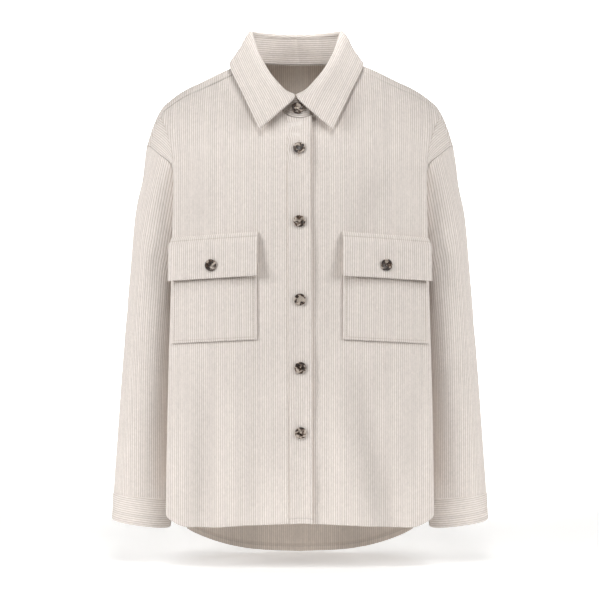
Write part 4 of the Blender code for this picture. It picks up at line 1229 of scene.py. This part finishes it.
upper_part = np.clip((placket_z - EDGE_WAVE_FROM) / EDGE_WAVE_OVER, 0, 1)
towards_edge = np.clip(-placket_cloth / PLACKET_WIDTH * 2, 0, 1)
placket_points[..., 0] += EDGE_WAVE * upper_part * np.sin(placket_z * EDGE_WAVE_RATE) * towards_edge
placket_press_and_shade = np.maximum(dent(placket_cloth - PLACKET_STITCH, PLACKET_STITCH_DENT),
                           dent(placket_rows - HEM_STITCH, PLACKET_HEM_DENT))
placket_sheet = cloth_sheet(placket_points, placket_out, placket_cloth, placket_rows, placket_press_and_shade)
placket = corduroy("placket", [placket_sheet])
stitch_down(placket_sheet, PLAIN_AT_HEM, len(placket_grid) - PLAIN_AT_TOP, PLACKET_STITCH)
placket_places = []
for z in PLACKET_BUTTONS_Z:
    line = nearest(placket_z[:, PLACKET_MIDDLE], z)
    spot = read_sheet(placket_sheet, line, np.array([0.0]))
    placket_places.append((spot["points"][0], spot["out"][0]))
    climb = unit(placket_points[line + 1, PLACKET_MIDDLE] - placket_points[line - 1, PLACKET_MIDDLE])
    up_hole = np.linspace(-0.5, 0.5, BUTTONHOLE_SPOTS)[:, None] * BUTTONHOLE_LENGTH
    for aside in (-0.5, 0.5):
        hole = spot["points"] + climb * up_hole + (aside * BUTTONHOLE_WIDTH, 0, 0)
        stitch_paths.append((hole, np.repeat(spot["out"], BUTTONHOLE_SPOTS, 0)))

# The pockets are patches with turned-in edges, stitched down at the sides and bottom and a little
# full. Each flap is sewn on above its pocket, stitched along its top, and buttons down over it.

# Pocket and flap: distances of the inner and outer edge from the middle, heights of top and bottom.
POCKET = (0.0620, 0.1900, -0.2640, -0.4020)
FLAP = (0.0600, 0.1940, -0.2480, -0.3110)
POCKET_HEIGHT = POCKET[2] - POCKET[3]
FLAP_HEIGHT = FLAP[2] - FLAP[3]
DROOP = 0.055
POCKET_PUFF = 0.0015
POCKET_STANDS = 0.0016
FLAP_SEWN = 0.20
# How far a flap's lower edge stands forward, how sharply it bends there, and how it waves across.
FLAP_LIFT = 0.0085
FLAP_BEND = 1.6
FLAP_WAVE = 0.2
POCKET_EDGE = (0.0008, 0.0016)
FLAP_EDGE = (0.0007, 0.0016)
FLAP_TOP_EDGE = (0.0011, 0.0016)
POCKET_STITCH_DENT = (0.5, 0.0011)
FLAP_STITCH_DENT = (0.6, 0.0012)
ROWS_UNDER_FLAP = 6
POCKET_STITCH = 0.0042
FLAP_STITCH = 0.0060
BUTTON_UP = 0.0200
BUTTON_ACROSS = {"right": 0.50, "left": 0.47}
PATCH_SPOTS = 61
POCKET_UP = np.concatenate([[0, 0.010, 0.022, 0.030, 0.038, 0.05], np.linspace(0.07, 1, 26)])
FLAP_UP = np.concatenate([
    [0, 0.016, 0.04], np.linspace(0.07, 0.87, 18), [0.89, 0.905, 0.92, 0.95, 0.98, 1.0]])


def patch(name, size, across, up):
    """A patch of a front's surface at shares across and up it, with its normals and those shares."""
    inner, outer, top_z, bottom_z = size
    a, b = np.meshgrid(across, up)
    s = inner + (outer - inner) * a
    z = bottom_z + (top_z - bottom_z) * b - DROOP * (s - (inner + outer) / 2)
    grid = body_point(name, s, z)
    return grid, normals_of(grid), s, a, b


button_places = []
for side in ("right", "left"):
    front_name = "front_" + side
    spots = np.linspace(0, 1, PATCH_SPOTS)
    grid, out, s, a, b = patch(front_name, POCKET, spots, POCKET_UP)
    up = b * POCKET_HEIGHT
    to_side = np.minimum(s - POCKET[0], POCKET[1] - s)
    to_edge = np.minimum(to_side, up)
    puff = POCKET_PUFF * np.sin(np.pi * a) * np.sin(np.pi * b)
    lift = LAID_ON + POCKET_STANDS + puff - dent(to_edge, POCKET_EDGE)
    press = dent(to_edge - POCKET_STITCH, POCKET_STITCH_DENT)
    pocket_sheet = cloth_sheet(grid + out * lift[..., None], out, s, up, press)
    grid, out, s, a, b = patch(front_name, FLAP, spots, FLAP_UP)
    down = (1 - b) * FLAP_HEIGHT
    over_pocket = LAID_ON + POCKET_STANDS + POCKET_PUFF
    hang = 2 * SEAM_GAP + over_pocket * np.clip((1 - b) / FLAP_SEWN, 0, 1)
    forward = FLAP_LIFT * (1 - b) ** FLAP_BEND * (1 - FLAP_WAVE + FLAP_WAVE * np.cos(2 * np.pi * a))
    to_edge = np.minimum.reduce([s - FLAP[0], FLAP[1] - s, b * FLAP_HEIGHT])
    lift = hang + WALL - dent(to_edge, FLAP_EDGE) - dent(down, FLAP_TOP_EDGE)
    press = dent(down - FLAP_STITCH, FLAP_STITCH_DENT)
    flap_points = grid + out * lift[..., None] - forward[..., None] * (0, 1, 0)
    flap_sheet = cloth_sheet(flap_points, out, s, down, press)
    if side == "right":
        pocket_sheet, flap_sheet = mirrored(pocket_sheet), mirrored(flap_sheet)
    pocket = corduroy("pocket_" + side, [pocket_sheet])
    flap = corduroy("flap_" + side, [flap_sheet])
    bottom = nearest(POCKET_UP * POCKET_HEIGHT, POCKET_STITCH)
    sides = (POCKET[0] + POCKET_STITCH, POCKET[1] - POCKET_STITCH)
    stitch_along(pocket_sheet, bottom, sides)
    for place in sides:
        stitch_down(pocket_sheet, bottom, len(POCKET_UP) - ROWS_UNDER_FLAP, place)
    sewn = nearest((1 - FLAP_UP) * FLAP_HEIGHT, FLAP_STITCH)
    stitch_along(flap_sheet, sewn, (FLAP[0] + STITCH_MARGIN, FLAP[1] - STITCH_MARGIN))
    line = nearest(FLAP_UP, BUTTON_UP / FLAP_HEIGHT)
    across = FLAP[0] + (FLAP[1] - FLAP[0]) * BUTTON_ACROSS[side]
    spot = read_sheet(flap_sheet, line, np.array([across]))
    button_places.append((spot["points"][0], spot["out"][0]))

# The topstitching is tan cotton thread, drawn down into the pile. It runs along the back's hem, round
# the inside of the stand, down the placket and both sides of its buttonholes, along the sides and
# bottom of the pockets and along the tops of the flaps.
STITCH_LENGTH = 0.0024
STITCH_STEP = 0.0032
THREAD_WIDTH = 0.0006
THREAD_DEPTH = GROOVE_DEPTH * 0.45


def end_tree(tree, placed, material, made):
    """Ends a geometry tree with a plain mesh of one material."""
    plain = add_node(tree, "GeometryNodeRealizeInstances", {"Geometry": placed}).outputs[0]
    done = add_node(tree, "GeometryNodeSetMaterial", {"Geometry": plain, "Material": material}).outputs[0]
    tree.links.new(done, made["Geometry"])


def stitch_tree():
    """A row of stitches along each line of a mesh, lying in the cloth."""
    tree, given, made = new_tree(
        "stitches", "GeometryNodeTree",
        (("Geometry", "Geometry"), ("Stitch length", "Float"), ("Stitch step", "Float"),
         ("Thread width", "Float"), ("Thread", "Material")),
        (("Geometry", "Geometry"),))
    curve = add_node(tree, "GeometryNodeMeshToCurve", {"Mesh": given["Geometry"]}).outputs[0]
    spots = add_node(tree, "GeometryNodeCurveToPoints", {
        "Curve": curve, "Length": given["Stitch step"]}, mode="LENGTH")
    lying = add_node(tree, "FunctionNodeAlignRotationToVector", {
        "Vector": spots.outputs["Tangent"]}, axis="X").outputs[0]
    turned = add_node(tree, "FunctionNodeAlignRotationToVector", {
        "Rotation": lying, "Vector": mesh_value(tree, "out", "FLOAT_VECTOR")},
        axis="Z", pivot_axis="X").outputs[0]
    bead = add_node(tree, "GeometryNodeMeshUVSphere", {"Segments": 6, "Rings": 4, "Radius": 0.5}).outputs[0]
    size = add_node(tree, "ShaderNodeCombineXYZ", {
        0: given["Stitch length"], 1: given["Thread width"], 2: given["Thread width"]}).outputs[0]
    placed = add_node(tree, "GeometryNodeInstanceOnPoints", {
        "Points": spots.outputs["Points"], "Instance": bead, "Rotation": turned, "Scale": size}).outputs[0]
    end_tree(tree, placed, given["Thread"], made)
    return tree


def thread_material(name, light, dark):
    """Twisted cotton thread, lighter and darker along its length."""
    made, tree, surface = new_material(name, {"Roughness": 0.8, "Specular IOR Level": 0.2})
    mottle = noise(tree, add_node(tree, "ShaderNodeTexCoord", {}).outputs["Object"], 700.0)
    tree.links.new(mixed(tree, mottle, (*light, 1), (*dark, 1)), surface.inputs["Base Color"])
    roughen(tree, surface, mottle, 0.3, 0.0002)
    return made


THREAD = thread_material("tan thread", (0.62, 0.52, 0.43), (0.46, 0.37, 0.29))
STITCHES = stitch_tree()
points = np.concatenate([path - out * THREAD_DEPTH for path, out in stitch_paths])
edges, count = [], 0
for path, _ in stitch_paths:
    edges += [(k, k + 1) for k in range(count, count + len(path) - 1)]
    count += len(path)
mesh = bpy.data.meshes.new("topstitching")
mesh.from_pydata(points, edges, [])
keep_out(mesh, np.concatenate([out for _, out in stitch_paths]))
topstitching = add_object("topstitching", mesh)
worked_by(topstitching, STITCHES, {
    "Stitch length": STITCH_LENGTH, "Stitch step": STITCH_STEP, "Thread width": THREAD_WIDTH,
    "Thread": THREAD})
topstitching.data.shade_smooth()
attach(topstitching, "root")

# The buttons are turned from mottled horn, with a rim, a dished middle and four holes. There is one on the
# stand, five down the placket and one on each flap.
BUTTON_WIDTH = 0.0172
BUTTON_THICKNESS = 0.0032
# Turned outline from the middle of the front round to the back: shares of half the width and the thickness.
BUTTON_PROFILE = (
    (0.0, 0.62), (0.50, 0.64), (0.62, 0.74), (0.74, 0.96), (0.84, 1.0), (0.93, 0.93),
    (0.99, 0.72), (1.0, 0.55), (0.93, 0.22), (0.80, 0.04), (0.60, 0.0), (0.0, 0.0))
BUTTON_STEPS = 40
BUTTON_ON_STAND = 0.50
HOLE_OUT = 0.0021
HOLE_WIDTH = 0.0019
HOLE_STEPS = 12
BUTTON_STANDS = SEAM_GAP + 0.0002
SHARP_FROM = 50


def horn_material():
    """Polished horn: dark brown with pale grey patches."""
    made, tree, surface = new_material("mottled horn", {"Coat Weight": 0.12})
    place = add_node(tree, "ShaderNodeTexCoord", {}).outputs["Object"]
    patches = noise(tree, place, 165.0, 3.0, 0.5, 0.6)
    shade = tree.nodes.new("ShaderNodeValToRGB")
    tree.links.new(patches, shade.inputs[0])
    stops = shade.color_ramp.elements
    stops[0].position, stops[0].color = 0.46, (0.020, 0.011, 0.007, 1)
    stops[1].position, stops[1].color = 0.57, (0.47, 0.405, 0.345, 1)
    middle = stops.new(0.515)
    middle.color = (0.085, 0.048, 0.028, 1)
    tree.links.new(shade.outputs[0], surface.inputs["Base Color"])
    gloss = reckon(tree, "MULTIPLY_ADD", patches, 0.2, 0.32)
    tree.links.new(gloss, surface.inputs["Roughness"])
    return made


def turned_button():
    """One button: a turned disc with four holes cut through it."""
    half = BUTTON_WIDTH / 2
    profile = [(share * half, height * BUTTON_THICKNESS) for share, height in BUTTON_PROFILE]
    turns = [2 * math.pi * k / BUTTON_STEPS for k in range(BUTTON_STEPS)]
    ring = [(x * math.cos(turn), x * math.sin(turn), z) for x, z in profile[1:-1] for turn in turns]
    points = [(0, 0, profile[0][1])] + ring + [(0, 0, profile[-1][1])]
    faces = []
    rings = len(profile) - 2
    for k in range(BUTTON_STEPS):
        after = (k + 1) % BUTTON_STEPS
        faces.append((0, 1 + k, 1 + after))
        for r in range(rings - 1):
            low, high = 1 + r * BUTTON_STEPS, 1 + (r + 1) * BUTTON_STEPS
            faces.append((low + k, high + k, high + after, low + after))
        base = 1 + (rings - 1) * BUTTON_STEPS
        faces.append((len(points) - 1, base + after, base + k))
    mesh = bpy.data.meshes.new("button")
    mesh.from_pydata(points, [], faces)
    made = add_object("button", mesh)
    drills = []
    for x, y in ((1, 1), (1, -1), (-1, 1), (-1, -1)):
        bpy.ops.mesh.primitive_cylinder_add(
            vertices=HOLE_STEPS, radius=HOLE_WIDTH / 2, depth=BUTTON_THICKNESS * 3,
            location=(x * HOLE_OUT, y * HOLE_OUT, 0))
        drill = bpy.context.object
        drills.append(drill)
        cut = made.modifiers.new("hole", "BOOLEAN")
        cut.operation = "DIFFERENCE"
        cut.object = drill
    bpy.context.view_layer.update()
    worked_in(made)
    for drill in drills:
        bpy.data.objects.remove(drill, do_unlink=True)
    return made


def button_tree():
    """A button on every point, facing out of the cloth."""
    tree, given, made = new_tree(
        "buttons", "GeometryNodeTree",
        (("Geometry", "Geometry"), ("Button", "Object"), ("Horn", "Material")), (("Geometry", "Geometry"),))
    facing = add_node(tree, "FunctionNodeAlignRotationToVector", {
        "Vector": mesh_value(tree, "out", "FLOAT_VECTOR")}, axis="Z").outputs[0]
    shape = add_node(tree, "GeometryNodeObjectInfo", {"Object": given["Button"]}).outputs["Geometry"]
    placed = add_node(tree, "GeometryNodeInstanceOnPoints", {
        "Points": given["Geometry"], "Instance": shape, "Rotation": facing}).outputs[0]
    end_tree(tree, placed, given["Horn"], made)
    return tree


HORN = horn_material()
BUTTONS = button_tree()
middle = nearest(STAND_LINES, BUTTON_ON_STAND)
column = nearest(round_right, 0.0)
stand_place = (stand_grid[middle, column], stand_out[middle, column])
names = ["button_stand"]
names += [f"button_placket_{k}" for k in range(1, len(placket_places) + 1)]
names += ["button_flap_right", "button_flap_left"]
places = [stand_place] + placket_places + button_places
button_shape = turned_button()
mesh = bpy.data.meshes.new("buttons")
mesh.from_pydata([tuple(place + out * BUTTON_STANDS) for place, out in places], [], [])
keep_out(mesh, [out for _, out in places])
buttons = add_object("buttons", mesh)
worked_by(buttons, BUTTONS, {"Button": button_shape, "Horn": HORN})
bpy.data.objects.remove(button_shape, do_unlink=True)
buttons.data.shade_smooth()
buttons.data.set_sharp_from_angle(angle=math.radians(SHARP_FROM))
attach(buttons, "root")
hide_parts(*names)

# A plain white studio with a floor that sweeps up behind. Soft lights stand at both sides of the front,
# the left one a little stronger, with one high in front, one behind, a small one that shines into the
# neck and one on the backdrop.
FLOOR_Z = -0.7352
FLOOR_SIDE = 2
SWEEP = ((-0.5, FLOOR_Z), (3.6, FLOOR_Z), (3.9, FLOOR_Z + 0.04), (4.15, FLOOR_Z + 0.16),
         (4.32, FLOOR_Z + 0.36), (4.4, FLOOR_Z + 0.62), (4.4, 2.4))
mesh = bpy.data.meshes.new("floor")
mesh.from_pydata([(x, y, z) for y, z in SWEEP for x in (-FLOOR_SIDE, FLOOR_SIDE)], [],
                 [(2 * k, 2 * k + 1, 2 * k + 3, 2 * k + 2) for k in range(len(SWEEP) - 1)])
mesh.shade_smooth()
floor = add_object("floor", mesh)
mesh.materials.append(new_material("white floor", {
    "Base Color": (0.92, 0.92, 0.915, 1), "Roughness": 0.9, "Emission Color": (1, 1, 1, 1),
    "Emission Strength": 0.31})[0])

# Lights: name, place, what each is aimed at, size, power, spread in degrees.
LIGHTS = (
    ("front left", (-1.50, -1.05, 0.14), (0, 0, -0.15), 0.8, 22.5, 180),
    ("front right", (1.50, -1.05, 0.14), (0, 0, -0.15), 0.9, 18.5, 180),
    ("high front", (0.05, -1.8, 1.7), (0, 0, -0.15), 0.8, 23.0, 180),
    ("rim", (0.0, 1.7, 1.5), (0, 0, -0.1), 1.4, 9.0, 180),
    ("into the neck", (0.0, -0.18, 0.40), (0, 0.08, -0.10), 0.12, 0.085, 40),
    ("backdrop", (0.0, 2.2, 2.8), (0, 4.4, 0.0), 3.0, 200.0, 114),
)
for name, place, aim, size, power, spread in LIGHTS:
    lamp = bpy.data.lights.new(name, "AREA")
    lamp.shape = "DISK"
    lamp.size = size
    lamp.energy = power
    lamp.spread = math.radians(spread)
    light = add_object(name, lamp)
    light.location = place
    away = np.array(place) - np.array(aim)
    tilt = math.atan2(math.hypot(away[0], away[1]), away[2])
    light.rotation_euler = (tilt, 0, math.atan2(away[0], -away[1]))
world = bpy.data.worlds.new("studio")
world.use_nodes = True
# The room gives a little warm light, and looks white where a view goes past the floor's edges.
room = world.node_tree
room_light = room.nodes["Background"]
room_light.inputs["Color"].default_value = (1.0, 0.87, 0.75, 1)
room_light.inputs["Strength"].default_value = 0.06
room_wall = add_node(room, "ShaderNodeBackground", {"Color": (1, 1, 1, 1), "Strength": 1.0})
looked_at = add_node(room, "ShaderNodeLightPath", {}).outputs["Is Camera Ray"]
both = add_node(room, "ShaderNodeMixShader", {
    0: looked_at, 1: room_light.outputs[0], 2: room_wall.outputs[0]})
room.links.new(both.outputs[0], room.nodes["World Output"].inputs["Surface"])
bpy.context.scene.world = world

lens = bpy.data.cameras.new("photo")
lens.sensor_width = 36
lens.lens = 104
camera = add_object("photo", lens)
camera.location = (0, -2.6, -0.342)
camera.rotation_euler = (math.pi / 2, 0, 0)
bpy.context.scene.camera = camera
bpy.context.scene.view_settings.view_transform = "Standard"
